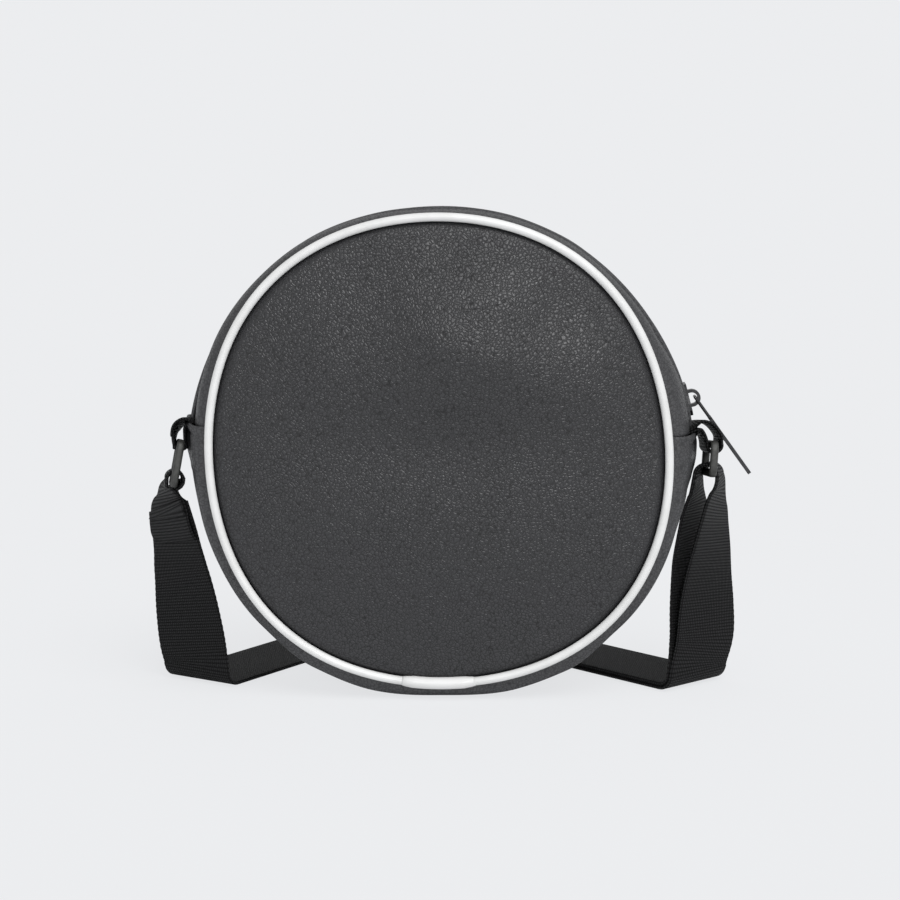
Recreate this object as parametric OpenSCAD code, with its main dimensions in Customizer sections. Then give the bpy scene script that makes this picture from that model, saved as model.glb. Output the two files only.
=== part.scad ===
// Round cross-body bag: two crowned leather discs joined by a gusset, with a zip over the top half,
// piping round both seams, side tabs with metal rings and a webbing shoulder strap.
// The back panel faces -Y, Z is up, and the bag stands on the plane Z = 0.

/* [Body] */
// Radius of the seam circle, at the middle of the piping
seam_r = 101.9; // [80:0.1:130]
// Distance from the middle plane to the middle of each piping
seam_half_depth = 33; // [24:0.5:45]
// How far a panel's middle stands out from its rim
crown = 5; // [3:0.5:8]
// How far the panel's rim stands outside the middle of the piping
rim_proud = 0.6; // [0.2:0.1:1]
// How far the bag's bottom stands below the seam circle, before it is pressed flat
foot_bulge = 7.5; // [4:0.1:12]
// How much of the rounded bottom is pressed flat
foot_flat = 0.6; // [0.3:0.1:1]
// Thickness of the leather
leather_t = 1.4; // [1:0.1:1.8]
// Thickness of the foam behind the leather
foam_t = 2.4; // [1.5:0.1:3]
// Thickness of the lining
lining_t = 0.5; // [0.3:0.1:0.8]
// Gap between layers that lie on each other
layer_gap = 0.1; // [0.05:0.01:0.2]

/* [Piping] */
// Outer diameter of the piping
piping_d = 3.8; // [3:0.1:4.2]
// Diameter of the cord inside the piping
piping_core_d = 2.5; // [1.6:0.1:2.6]
// Outer diameter of the sleeve that covers the piping's joint
sleeve_d = 5.4; // [4.8:0.1:6]
// Length of the sleeve along the seam
sleeve_l = 31; // [20:1:45]

/* [Gusset] */
// Height of the side seams above the bag's middle
side_rise = 6; // [4:0.5:10]
// How far the zip's arc stands outside the seam circle at the top
zip_bulge_top = 3.1; // [2.5:0.1:5]
// How far the zip's arc stands outside the seam circle at the side seams
zip_bulge_side = 10.1; // [8:0.1:14]
// Step at a side seam from the zip's arc out to the lower gusset
side_step = 2; // [1:0.1:3]
// Roundness of the lower gusset's outline, 2 is an ellipse
outline_power = 2.1; // [2:0.05:2.4]
// Roundness of the gusset's section between its seams, 2 is an ellipse
section_power = 3.4; // [2.5:0.1:4]
// Height of the slot in each side seam that the tab's two layers pass through
side_seam_gap = 3.6; // [3.5:0.1:4.5]

/* [Zip] */
// Width of the slot between the two zip strips
slot_w = 14.4; // [14:0.1:18]
// Thickness of the zip tape
tape_t = 0.6; // [0.4:0.1:0.8]
// Half width of the tape, from the middle of the chain to its sewn edge
tape_half_w = 14; // [11:0.5:16]
// Gap between the leather strip and the tape under it
tape_gap = 0.35; // [0.3:0.05:0.6]
// Distance from one tooth of a row to the next
tooth_pitch = 3; // [2.8:0.1:3.6]
// Height of a tooth through the tape
tooth_h = 2.8; // [2.2:0.1:3]
// Distance from the middle of the chain to a tooth's outer flank
tooth_reach = 3.9; // [3.6:0.1:4.2]
// Length of the slider along the chain
slider_l = 14.3; // [12:0.1:16]
// Width of the slider's nose
slider_w = 13.2; // [12:0.1:13.6]
// Width of the slider's tail
slider_tail_w = 11.4; // [10.8:0.1:12]
// Thickness of each slider wing
wing_t = 1.2; // [1:0.1:1.5]
// Running clearance between the slider and the chain
slider_gap = 0.6; // [0.5:0.05:0.8]
// Distance along the chain from the tape's end to the middle of the closed slider
slider_rise = 12.63; // [12:0.01:18]
// Inner radius of the bail on the slider
bail_r = 2.5; // [2.2:0.1:3.2]
// Thickness of the bail's bar
bail_t = 1.4; // [1:0.1:1.8]
// Width of the bail along the pull's pin
bail_w = 3; // [2.4:0.1:4]
// Length of the pull from its pin to its tip
pull_l = 42; // [30:1:50]
// Length of the wire loop before the pull's plate
pull_wire_l = 11; // [8:0.5:14]
// Diameter of the pull's wire
pull_wire_d = 1.4; // [1:0.1:1.6]
// Width of the pull's plate
pull_w = 8; // [7.2:0.1:10]
// Thickness of the pull's plate
pull_t = 1.6; // [1.2:0.1:2]
// Angle of the hanging pull below the horizontal
pull_angle = 54; // [50:0.5:54]

/* [Mouth] */
// Height of the fold above the bag's middle, where the front opens outward
fold_rise = 35; // [32:0.5:50]
// Gap between the moving lip and the fixed front
fold_gap = 0.4; // [0.3:0.1:1]

/* [Tabs and rings] */
// Width of the webbing
web_w = 38; // [32:0.5:40]
// Thickness of the webbing
web_t = 1.6; // [1.2:0.1:1.7]
// Diameter of a ring's bar
ring_bar_d = 3.5; // [3:0.1:4]
// Height of a ring between its two long bars
ring_h = 14; // [13:0.5:20]
// Gap between a ring's side bar and the webbing's edge
ring_side_gap = 0.6; // [0.4:0.1:1.5]
// Radius of a ring's corners, at the middle of the bar
ring_corner_r = 3; // [2.5:0.1:4]
// Gap between a ring's bar and the webbing round it
ring_gap = 0.3; // [0.2:0.05:0.6]
// How far the right ring's upper bar stands out from the zip's side
ring_out_right = 8.4; // [8:0.1:10]
// Drop of the right ring's upper bar below the side seam
ring_drop_right = 5.2; // [4.5:0.1:8]
// Lean of the right ring, its lower bar towards the bag
ring_lean_right = 3; // [0:1:8]
// How far the left ring's upper bar stands out from the zip's side
ring_out_left = 6; // [6:0.1:8]
// Drop of the left ring's upper bar below the side seam
ring_drop_left = 8; // [7.5:0.1:11]
// Lean of the left ring, its lower bar away from the bag
ring_lean_left = 4; // [0:1:8]
// Slack in the right tab's loop, beyond a close fit round the bar
tab_slack = 1.05; // [0:0.05:1.2]
// Direction in which the bar leans inside the slack loop, below the horizontal
tab_slack_angle = 50; // [30:5:70]

/* [Strap] */
// Length of the strap's loop below a ring's lower bar
strap_loop_l = 13.5; // [10:0.5:16]
// How far the left loop leans out on its way down from the ring
loop_lean_left = 4; // [0:0.5:6]
// Slack in the right loop, beyond a close fit round the bar, which keeps its two legs apart
loop_slack_right = 1.4; // [0.6:0.1:1.6]
// Gap between the loop that swings with the ring and the strap below it
strap_gap = 0.7; // [0.5:0.1:1]
// Length of the sewn tail on the left strap
tail_l = 16; // [14:1:35]
// How far the left strap swings in from its ring on its way to the ground
left_swing = 12.8; // [8:0.1:16]
// How far the right strap swings in from its ring on its way to the ground
right_swing = 8; // [4:0.1:10]
// How far both straps come forward on their way to the ground
strap_forward = 5; // [0:0.5:8]
// Radius of the bend where the strap meets the ground
bend_r = 7; // [5:0.5:12]
// Distance along the ground from the right bend to the adjuster
adjuster_at = 112; // [90:1:120]
// Length of the adjuster along the strap
adjuster_l = 23; // [21:0.5:28]
// Diameter of the adjuster's bars
adjuster_bar_d = 2; // [1.8:0.1:2.2]
// Length of the slope where the strap climbs onto its own lower layer
climb_l = 16; // [12:1:20]

/* [Hidden] */
$fn = 96;

// Overrun that lets a cut pass the faces it opens
over = 1;

// The bag's middle above the ground, and where panels, gusset and piping meet
foot_half_height = seam_r + foot_bulge;
centre_z = foot_half_height - foot_flat;
piping_r = piping_d / 2;
panel_r = seam_r - piping_r - layer_gap;
rim_y = seam_half_depth + rim_proud;
panel_y = rim_y + crown;
dome_r = (panel_r * panel_r + crown * crown) / (2 * crown);
foam_r = panel_r - 2 * foam_t - 2 * lining_t;
gusset_half = seam_half_depth - piping_r - layer_gap;
piping_bore_r = piping_core_d / 2 + layer_gap / 2;
sleeve_half_angle = asin(sleeve_l / 2 / seam_r);

// The zip runs on a circle through its top and the two side seams
zip_top = seam_r + zip_bulge_top;
zip_half_width = seam_r + zip_bulge_side;
side_half_width = zip_half_width + side_step;
zip_drop = (zip_half_width * zip_half_width + side_rise * side_rise - zip_top * zip_top)
    / (2 * (zip_top - side_rise));
zip_r = zip_top + zip_drop;
tape_out_r = zip_r - leather_t - tape_gap;
chain_r = tape_out_r - tape_t / 2;
strip_end_z = side_rise + side_seam_gap / 2;
gusset_end_z = strip_end_z - layer_gap;
inner_end_z = side_rise - side_seam_gap / 2;
slot_half = slot_w / 2;

// Depths below the gusset's outer face at which its layers start and end
stiffener_depth = leather_t + layer_gap;
stiffener_end = stiffener_depth + foam_t;
lining_depth = stiffener_end + layer_gap;
lining_end = lining_depth + lining_t;

// Counts of the domes' and lofts' steps
dome_steps = 720;
loft_steps = 44;
across_steps = 8;
end_steps = 5;

function seam_angle(z) = asin(z / seam_r);
function zip_angle(z) = asin((z + zip_drop) / zip_r);
function bulge(u) = pow(1 - pow(min(abs(u), 1), section_power), 1 / section_power);
function lower_r(a) = pow(pow(abs(cos(a)) / side_half_width, outline_power)
    + pow(abs(sin(a)) / foot_half_height, outline_power), -1 / outline_power);
function mix(a, b, t) = a + (b - a) * t;

// Faces of a closed slab between two grids of points, both with `rows` by `cols` points
function quad(a, b, c, d) = [[a, b, c], [a, c, d]];
function slab_faces(rows, cols) = let(k = rows * cols) [
    for (r = [0 : rows - 2], c = [0 : cols - 2])
        let(p = r * cols + c)
        each concat(
            quad(p, p + 1, p + cols + 1, p + cols),
            quad(k + p, k + p + cols, k + p + cols + 1, k + p + 1)
        ),
    for (c = [0 : cols - 2])
        let(q = (rows - 1) * cols + c)
        each concat(quad(c + 1, c, k + c, k + c + 1), quad(q, q + 1, k + q + 1, k + q)),
    for (r = [0 : rows - 2])
        let(p = r * cols, q = r * cols + cols - 1)
        each concat(
            quad(p, p + cols, k + p + cols, k + p),
            quad(q + cols, q, k + q, k + q + cols)
        ),
];

module slab(outer, inner) {
    polyhedron(
        points = concat([for (row = outer) each row], [for (row = inner) each row]),
        faces = slab_faces(len(outer), len(outer[0]))
    );
}

// A solid of revolution about the bag's depth, from angle a0 to a1, drawn as (radius, depth)
module about_depth(axis_z, a0 = 0, a1 = 360) {
    translate([0, 0, axis_z])
        rotate([90, 0, 0])
            rotate([0, 0, a0])
                rotate_extrude(angle = a1 - a0)
                    mirror([0, 1])
                        children();
}

// The space above or below a height, over the whole bag
cut_side = 2 * (side_half_width + foot_half_height);

module above_fold(from_z) {
    translate([-cut_side / 2, -cut_side / 2, centre_z + from_z]) cube([cut_side, cut_side, cut_side]);
}

module below_fold(to_z) {
    translate([-cut_side / 2, -cut_side / 2, centre_z + to_z - cut_side])
        cube([cut_side, cut_side, cut_side]);
}

// One crowned layer of a panel on the +Y side, `depth` below its outer face
module dome(r, depth, t) {
    about_depth(centre_z)
        intersection() {
            translate([0, panel_y - dome_r])
                difference() {
                    circle(dome_r - depth, $fn = dome_steps);
                    circle(dome_r - depth - t, $fn = dome_steps);
                }
            translate([0, rim_y - 3 * foam_t]) square([r, crown + 4 * foam_t]);
        }
}

module back_side() {
    mirror([0, 1, 0]) children();
}

module leather_dome() {
    dome(panel_r, 0, leather_t);
}

module foam_dome() {
    dome(foam_r, leather_t + layer_gap, foam_t);
}

module lining_dome() {
    dome(foam_r, leather_t + foam_t + 2 * layer_gap, lining_t);
}

module back_panel() {
    color("#3a3b3d") back_side() leather_dome();
}

module back_foam() {
    color("#b9b7ae") back_side() foam_dome();
}

module back_lining() {
    color("#202124") back_side() lining_dome();
}

module front_panel() {
    color("#3a3b3d") intersection() {
        leather_dome();
        below_fold(fold_rise - fold_gap / 2);
    }
}

module front_foam() {
    color("#b9b7ae") intersection() {
        foam_dome();
        below_fold(fold_rise - fold_gap / 2);
    }
}

module front_lining() {
    color("#202124") intersection() {
        lining_dome();
        below_fold(fold_rise - fold_gap / 2);
    }
}

module mouth_panel() {
    color("#3a3b3d") intersection() {
        leather_dome();
        above_fold(fold_rise + fold_gap / 2);
    }
}

module mouth_foam() {
    color("#b9b7ae") intersection() {
        foam_dome();
        above_fold(fold_rise + fold_gap / 2);
    }
}

module mouth_lining() {
    color("#202124") intersection() {
        lining_dome();
        above_fold(fold_rise + fold_gap / 2);
    }
}

// Piping: a leather tube round a cord, along the seam circle on the +Y side
module piping_tube() {
    about_depth(centre_z)
        translate([seam_r, seam_half_depth])
            difference() {
                circle(piping_r);
                circle(piping_bore_r);
            }
}

module piping_cord() {
    about_depth(centre_z)
        translate([seam_r, seam_half_depth])
            circle(piping_core_d / 2);
}

module back_piping() {
    color("#f2f2f0") back_side() piping_tube();
}

module back_piping_core() {
    color("#d8d8d2") back_side() piping_cord();
}

module front_piping() {
    color("#f2f2f0") intersection() {
        piping_tube();
        below_fold(fold_rise - fold_gap / 2);
    }
}

module front_piping_core() {
    color("#d8d8d2") intersection() {
        piping_cord();
        below_fold(fold_rise - fold_gap / 2);
    }
}

module mouth_piping() {
    color("#f2f2f0") intersection() {
        piping_tube();
        above_fold(fold_rise + fold_gap / 2);
    }
}

module mouth_piping_core() {
    color("#d8d8d2") intersection() {
        piping_cord();
        above_fold(fold_rise + fold_gap / 2);
    }
}

// The sleeve hugs the piping where its two ends meet, and stops short of panel and gusset
module joint_sleeve() {
    about_depth(centre_z, -90 - sleeve_half_angle, -90 + sleeve_half_angle)
        intersection() {
            translate([seam_r, seam_half_depth])
                difference() {
                    circle(sleeve_d / 2);
                    circle(piping_r + layer_gap / 2);
                }
            translate([panel_r + layer_gap / 2, gusset_half + layer_gap / 2])
                square([sleeve_d + over, sleeve_d + over]);
        }
}

module piping_sleeve() {
    color("#f6f6f4") {
        joint_sleeve();
        back_side() joint_sleeve();
    }
}

// Lower gusset: a band lofted between the two seam circles, bulging to the side outline.
// `top` and `bottom` are depths below its outer face, and its bottom is pressed flat.
function lower_point(t, u, depth, end_z) =
    let(
        seam_a = mix(seam_angle(end_z), -180 - seam_angle(end_z), t),
        end_a = asin(end_z / side_half_width),
        mid_a = mix(end_a, -180 - end_a, t),
        share = bulge(u),
        x = mix(seam_r * cos(seam_a), lower_r(mid_a) * cos(mid_a), share),
        z = mix(seam_r * sin(seam_a), lower_r(mid_a) * sin(mid_a), share),
        out = norm([x, z]),
        in = (out - depth) / out
    )
    [x * in, u * gusset_half, max(centre_z + z * in, depth)];

function lower_grid(depth, end_z) = [
    for (i = [0 : loft_steps])
        [
            for (k = [-across_steps : across_steps])
                lower_point(i / loft_steps, sin(90 * k / across_steps), depth, end_z)
        ]
];

module both_ends() {
    children();
    mirror([1, 0, 0]) children();
}

// The slot in the right side seam that a tab passes through
module tab_slot() {
    slot_l = side_half_width - zip_half_width + tab_root_in + 2 * over;
    slot_depth = web_w + 2 * layer_gap;
    translate([side_half_width + over - slot_l, -slot_depth / 2, centre_z + inner_end_z])
        cube([slot_l, slot_depth, side_seam_gap]);
}

module lower_gusset() {
    color("#2e2f31") difference() {
        slab(lower_grid(0, gusset_end_z), lower_grid(leather_t, gusset_end_z));
        both_ends() tab_slot();
    }
}

module gusset_stiffener() {
    color("#b9b7ae")
        slab(lower_grid(stiffener_depth, inner_end_z), lower_grid(stiffener_end, inner_end_z));
}

module gusset_lining() {
    color("#202124")
        slab(lower_grid(lining_depth, inner_end_z), lower_grid(lining_end, inner_end_z));
}

// Zip strips: leather bands from the slot to the seam, along the zip's arc, on the +Y side
function strip_point(seam_a, arc_a, y, depth) =
    let(
        share = bulge(y / gusset_half),
        x = mix(seam_r * cos(seam_a), zip_r * cos(arc_a), share),
        z = mix(seam_r * sin(seam_a), zip_r * sin(arc_a) - zip_drop, share),
        out = norm([x, z]),
        in = (out - depth) / out
    )
    [x * in, y, centre_z + z * in];

function strip_grid(seam_0, seam_1, arc_0, arc_1, steps, depth) = [
    for (i = [0 : steps])
        [
            for (k = [0 : across_steps])
                strip_point(
                    mix(seam_0, seam_1, i / steps), mix(arc_0, arc_1, i / steps),
                    mix(slot_half, gusset_half, sin(90 * k / across_steps)), depth
                )
        ]
];

module strip(z0, z1, steps, whole_arc) {
    seam_1 = whole_arc ? 180 - seam_angle(z0) : seam_angle(z1);
    arc_1 = whole_arc ? 180 - zip_angle(z0) : zip_angle(z1);
    slab(
        strip_grid(seam_angle(z0), seam_1, zip_angle(z0), arc_1, steps, leather_t),
        strip_grid(seam_angle(z0), seam_1, zip_angle(z0), arc_1, steps, 0)
    );
}

module zip_strip_back() {
    color("#2e2f31") back_side() strip(strip_end_z, strip_end_z, loft_steps, true);
}

module zip_strip_front() {
    color("#2e2f31") both_ends()
        strip(strip_end_z, fold_rise - fold_gap / 2, end_steps, false);
}

module mouth_strip() {
    color("#2e2f31")
        strip(fold_rise + fold_gap / 2, fold_rise + fold_gap / 2, loft_steps - 2 * end_steps, true);
}

// Zip tape, from the sewn edge to the teeth, on the +Y side
module tape(z0, z1, whole_arc) {
    a0 = zip_angle(z0);
    a1 = whole_arc ? 180 - a0 : zip_angle(z1);
    about_depth(centre_z - zip_drop, a0, a1)
        translate([tape_out_r - tape_t, tooth_reach])
            square([tape_t, tape_half_w - tooth_reach]);
}

// The tape's cut ends run radially, so they stand clear of the tab and of the fold plane
tape_end_z = strip_end_z + tape_t;
tape_fold_clear = tape_t + fold_gap / 2;

module zip_tape_back() {
    color("#232427") back_side() tape(tape_end_z, tape_end_z, true);
}

module zip_tape_front() {
    color("#232427") both_ends() tape(tape_end_z, fold_rise - tape_fold_clear, false);
}

module mouth_tape() {
    color("#232427")
        tape(fold_rise + tape_fold_clear, fold_rise + tape_fold_clear, true);
}

// One tooth of the +Y row: root on the tape, slim neck, and a head that hooks past the middle
root_share = 0.37;
neck_share = 0.15;
head_share = 0.31;
hook_share = 0.32;
shoulder_shares = [0.62, 0.5];
head_shares = [0.45, 0.6];
root_half = root_share * tooth_pitch;
neck_half = neck_share * tooth_pitch;
head_half = head_share * tooth_pitch;
head_reach = hook_share * tooth_reach;
shoulder_out = shoulder_shares[0] * tooth_reach;
shoulder_in = shoulder_shares[1] * tooth_reach;
head_wide_y = head_shares[0] * head_reach;
head_tip_half = head_shares[1] * head_half;
tooth_outline = [
    [tooth_reach, -root_half], [tooth_reach, root_half], [shoulder_out, root_half],
    [shoulder_in, neck_half], [0, neck_half], [-head_wide_y, head_half],
    [-head_reach, head_tip_half], [-head_reach, -head_tip_half], [-head_wide_y, -head_half],
    [0, -neck_half], [shoulder_in, -neck_half], [shoulder_out, -root_half],
];

module at_chain(a) {
    translate([0, 0, centre_z - zip_drop])
        rotate([0, -a, 0])
            translate([chain_r, 0, 0])
                children();
}

module tooth() {
    translate([-tooth_h / 2, 0, 0])
        rotate([90, 0, 90])
            linear_extrude(tooth_h)
                polygon(tooth_outline);
}

function arc_angle(l) = l / chain_r * 180 / PI;
pitch_angle = arc_angle(tooth_pitch);
slider_angle = zip_angle(strip_end_z) + arc_angle(slider_rise);
chain_start = slider_angle;
teeth_count = floor((180 - 2 * chain_start) / pitch_angle);
mouth_start = zip_angle(fold_rise) + pitch_angle / 2;

function tooth_angles(shift) = [
    for (i = [0 : teeth_count]) chain_start + (i + shift) * pitch_angle
];

function on_mouth(a) = a > mouth_start && a < 180 - mouth_start;

module teeth(angles) {
    for (a = angles) at_chain(a) tooth();
}

module zip_teeth_back() {
    color("#17181a") back_side() teeth(tooth_angles(0));
}

module zip_teeth_front() {
    color("#17181a") teeth([for (a = tooth_angles(0.5)) if (!on_mouth(a)) a]);
}

module mouth_teeth() {
    color("#17181a") teeth([for (a = tooth_angles(0.5)) if (on_mouth(a)) a]);
}

// Stops clamped on each tape beyond the last teeth, outside the slider's travel
stop_l = 2;
stop_w = 2.4;
stop_angle = arc_angle(slider_l / 2 + stop_l);

module zip_stops() {
    color("#17181a")
        for (a = [slider_angle - stop_angle, 180 - slider_angle + stop_angle], side = [-1, 1])
            at_chain(a)
                translate([0, side * (tooth_reach - stop_w / 2 - layer_gap / 2), 0])
                    cube([tooth_h, stop_w, stop_l], center = true);
}

// Slider: two wings joined by the divider in the nose, with flanges that hold the chain
wing_y = slider_w / 2;
tail_y = slider_tail_w / 2;
wing_x = tooth_h / 2 + slider_gap;
flange_x = tape_t / 2 + slider_gap;
flange_t = 1.1;
nose_cut = 2.6;
tail_cut = 1.2;
divider_half = 1.3;
nose_z = -slider_l / 2;
tail_z = slider_l / 2;
waist_z = slider_l / 8;
wing_outline = [
    [-wing_y + nose_cut, nose_z], [wing_y - nose_cut, nose_z], [wing_y, nose_z + nose_cut],
    [wing_y, -waist_z], [tail_y, waist_z], [tail_y, tail_z - tail_cut], [tail_y - tail_cut, tail_z],
    [-tail_y + tail_cut, tail_z], [-tail_y, tail_z - tail_cut], [-tail_y, waist_z],
    [-wing_y, -waist_z], [-wing_y, nose_z + nose_cut],
];
flange_outline = [
    [tail_y - flange_t, tail_z - tail_cut], [tail_y, tail_z - tail_cut], [tail_y, waist_z],
    [wing_y, -waist_z], [wing_y, nose_z + nose_cut], [wing_y - flange_t, nose_z + nose_cut],
    [wing_y - flange_t, -waist_z], [tail_y - flange_t, waist_z],
];
divider_outline = [
    [0, nose_z + tail_cut], [divider_half, nose_z + nose_cut],
    [0, nose_z + 2 * nose_cut], [-divider_half, nose_z + nose_cut],
];

// Draws a (depth, along-chain) outline and raises it outwards from radius offset x0 to x1
module raised(x0, x1) {
    translate([x0, 0, 0])
        rotate([90, 0, 90])
            linear_extrude(x1 - x0)
                children();
}

module slider_wing(side) {
    lo = side > 0 ? wing_x : -wing_x - wing_t;
    raised(lo, lo + wing_t) polygon(wing_outline);
    flange_lo = side > 0 ? flange_x : -wing_x;
    for (m = [0, 1])
        raised(flange_lo, flange_lo + wing_x - flange_x)
            mirror([m, 0]) polygon(flange_outline);
}

module zip_slider() {
    color("#26272a") at_chain(slider_angle) {
        slider_wing(1);
        slider_wing(-1);
        raised(-wing_x, wing_x) polygon(divider_outline);
    }
}

// Bail: an arch on the slider's upper wing that the pull's pin passes through
bail_x = wing_x + wing_t;
bail_foot = 1.2;

module zip_bail() {
    color("#26272a") at_chain(slider_angle)
        translate([bail_x + bail_foot, 0, 0]) {
            rotate([0, 90, 0])
                rotate([90, 0, 0])
                    rotate_extrude(angle = 180)
                        translate([bail_r, -bail_w / 2])
                            square([bail_t, bail_w]);
            for (side = [-1, 1])
                translate([-bail_foot, -bail_w / 2, side > 0 ? bail_r : -bail_r - bail_t])
                    cube([bail_foot, bail_w, bail_t]);
        }
}

// Pull: a pin through the bail, two wires and a flat plate
pin_x = bail_x + bail_foot + bail_r - pull_wire_d / 2 - ring_gap;
wire_y = bail_w / 2 + ring_gap + pull_wire_d / 2;
plate_corner = 1.6;
plate_hole_r = 1.1;

module at_pin() {
    translate([0, 0, centre_z - zip_drop])
        rotate([0, -slider_angle, 0])
            translate([chain_r + pin_x, 0, 0])
                rotate([0, slider_angle + pull_angle, 0])
                    children();
}

module pull_plate_outline() {
    from = pull_wire_l;
    half = pull_w / 2;
    difference() {
        union() {
            translate([from, -half + plate_corner]) square([pull_l - from, pull_w - 2 * plate_corner]);
            translate([from + plate_corner, -half])
                square([pull_l - from - 2 * plate_corner, pull_w]);
            for (x = [from + plate_corner, pull_l - plate_corner], y = [-1, 1])
                translate([x, y * (half - plate_corner)]) circle(plate_corner);
        }
        translate([pull_l - 2 * plate_corner, 0]) circle(plate_hole_r);
    }
}

module zip_pull() {
    color("#1d1e20") at_pin() {
        rotate([90, 0, 0]) cylinder(d = pull_wire_d, h = 2 * wire_y, center = true);
        for (side = [-1, 1]) translate([0, side * wire_y, 0]) {
            sphere(d = pull_wire_d);
            rotate([0, 90, 0]) cylinder(d = pull_wire_d, h = pull_wire_l + plate_corner);
        }
        translate([0, 0, -pull_t / 2]) linear_extrude(pull_t) pull_plate_outline();
    }
}

// Rings: each hangs from its upper bar, which lies along the bag's depth
ring_half_w = web_w / 2 + ring_side_gap + ring_bar_d / 2;
right_bar = [zip_half_width + ring_out_right, centre_z + side_rise - ring_drop_right];
left_bar = [-zip_half_width - ring_out_left, centre_z + side_rise - ring_drop_left];
right_low = right_bar - ring_h * [sin(ring_lean_right), cos(ring_lean_right)];
left_low = left_bar - ring_h * [sin(ring_lean_left), cos(ring_lean_left)];

module ring(bar, lean) {
    translate([bar.x, 0, bar.y])
        rotate([0, lean, 0]) {
            for (z = [0, -ring_h])
                translate([0, 0, z])
                    rotate([90, 0, 0])
                        cylinder(d = ring_bar_d, h = 2 * (ring_half_w - ring_corner_r), center = true);
            for (side = [-1, 1]) {
                translate([0, side * ring_half_w, ring_corner_r - ring_h])
                    cylinder(d = ring_bar_d, h = ring_h - 2 * ring_corner_r);
                for (end = [0, 1])
                    translate([
                        0, side * (ring_half_w - ring_corner_r),
                        end ? -ring_corner_r : ring_corner_r - ring_h
                    ])
                        rotate([0, -90, 0])
                            mirror([end ? 0 : 1, side > 0 ? 0 : 1, 0])
                                rotate_extrude(angle = 90)
                                    translate([ring_corner_r, 0]) circle(d = ring_bar_d);
            }
        }
}

module ring_right() {
    color("#4a4b4f") ring(right_bar, ring_lean_right);
}

module ring_left() {
    color("#4a4b4f") ring(left_bar, ring_lean_left);
}

// A webbing loop round a bar, drawn in the XZ plane: it closes on two layers at `root`
loop_in_r = ring_bar_d / 2 + ring_gap;
layers_t = 2 * web_t + layer_gap;

module loop_outline(middle, root, in_r, turn) {
    difference() {
        hull() {
            translate(middle) circle(in_r + web_t, $fn = 32);
            translate(root) rotate(turn) square([layer_gap, layers_t], center = true);
        }
        hull() {
            translate(middle) circle(in_r, $fn = 32);
            translate(root) rotate(turn) square([layer_gap, layer_gap], center = true);
        }
    }
}

module across(w) {
    rotate([90, 0, 0]) linear_extrude(w, center = true) children();
}

// A tab is caught in the side seam: two layers run in through the seam from the loop's root
tab_root_in = 5;

module tab(bar, sign, slack) {
    root = [sign * (side_half_width + layer_gap), centre_z + side_rise];
    tail = side_half_width + layer_gap - zip_half_width + tab_root_in;
    lean = [sign * cos(tab_slack_angle), -sin(tab_slack_angle)];
    across(web_w) {
        loop_outline(bar - slack * lean, root, loop_in_r + slack, 0);
        for (layer = [-1, 1])
            translate(root + [-sign * tail / 2, layer * (web_t + layer_gap) / 2])
                square([tail, web_t], center = true);
    }
}

module tab_right() {
    color("#1b1c1e") tab(right_bar, 1, tab_slack);
}

module tab_left() {
    color("#1b1c1e") tab(left_bar, -1, 0);
}

// The right loop lies on its bar and hangs open on two legs; the left one closes below its bar
loop_in_right = loop_in_r + loop_slack_right;
loop_out_right = loop_in_right + web_t;

module strap_loop_right() {
    top = right_low - [0, loop_slack_right];
    root = right_low - [0, strap_loop_l];
    color("#1b1c1e") across(web_w) difference() {
        hull() {
            translate(top) circle(loop_out_right, $fn = 32);
            translate(root - [loop_out_right, 0]) square([2 * loop_out_right, layer_gap]);
        }
        hull() {
            translate(top) circle(loop_in_right, $fn = 32);
            translate(root - [loop_in_right, over]) square([2 * loop_in_right, over]);
        }
    }
}

module strap_loop_left() {
    color("#1b1c1e") across(web_w)
        loop_outline(left_low, left_low - [loop_lean_left, strap_loop_l], loop_in_r, 90);
}

// A strap is a ribbon through stations [x, y, z, yaw, pitch]: yaw turns its width about Z,
// and pitch is -90 where it runs down and 0 where it runs along the ground, away from the camera
function width_dir(yaw) = [cos(yaw), sin(yaw), 0];
function run_dir(yaw, pitch) = [-sin(yaw) * cos(pitch), cos(yaw) * cos(pitch), sin(pitch)];
function face_dir(yaw, pitch) = cross(width_dir(yaw), run_dir(yaw, pitch));

function rows(stations, height) = [
    for (s = stations)
        let(p = [s[0], s[1], s[2]] + face_dir(s[3], s[4]) * height, w = width_dir(s[3]) * web_w / 2)
        [p - w, p + w]
];

// A station on the ground, `d` beyond the end of the bend and `z` above the ground
function along(foot, yaw, d, z, pitch = 0) =
    let(h = run_dir(yaw, 0))
    [foot.x + h.x * (bend_r + d), foot.y + h.y * (bend_r + d), z, yaw, pitch];

function bend(foot, yaw) = [
    for (a = [0 : bend_step : 90])
        let(h = run_dir(yaw, 0), d = bend_r * (1 - cos(a)))
        [foot.x + h.x * d, foot.y + h.y * d, bend_r * (1 - sin(a)) + web_t / 2, yaw, a - 90]
];

// Routes of the two hanging stretches, from below the rings to the ground
bend_step = 18;
left_yaw = -32;
right_yaw = 44;
second_layer = web_t + layer_gap;
legs_apart = loop_in_right + loop_out_right;
left_top = [left_low.x - loop_lean_left + second_layer / 2, left_low.y - strap_loop_l - strap_gap];
right_top = [right_low.x + legs_apart / 2, right_low.y - strap_loop_l - strap_gap];

// A station of a hanging stretch, from shares of its swing, its way forward and its height
function drop_station(top, swing_x, swing, forward, height, yaw) =
    [top.x + swing_x * swing, -strap_forward * forward, top.y * height, yaw, -90];

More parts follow.
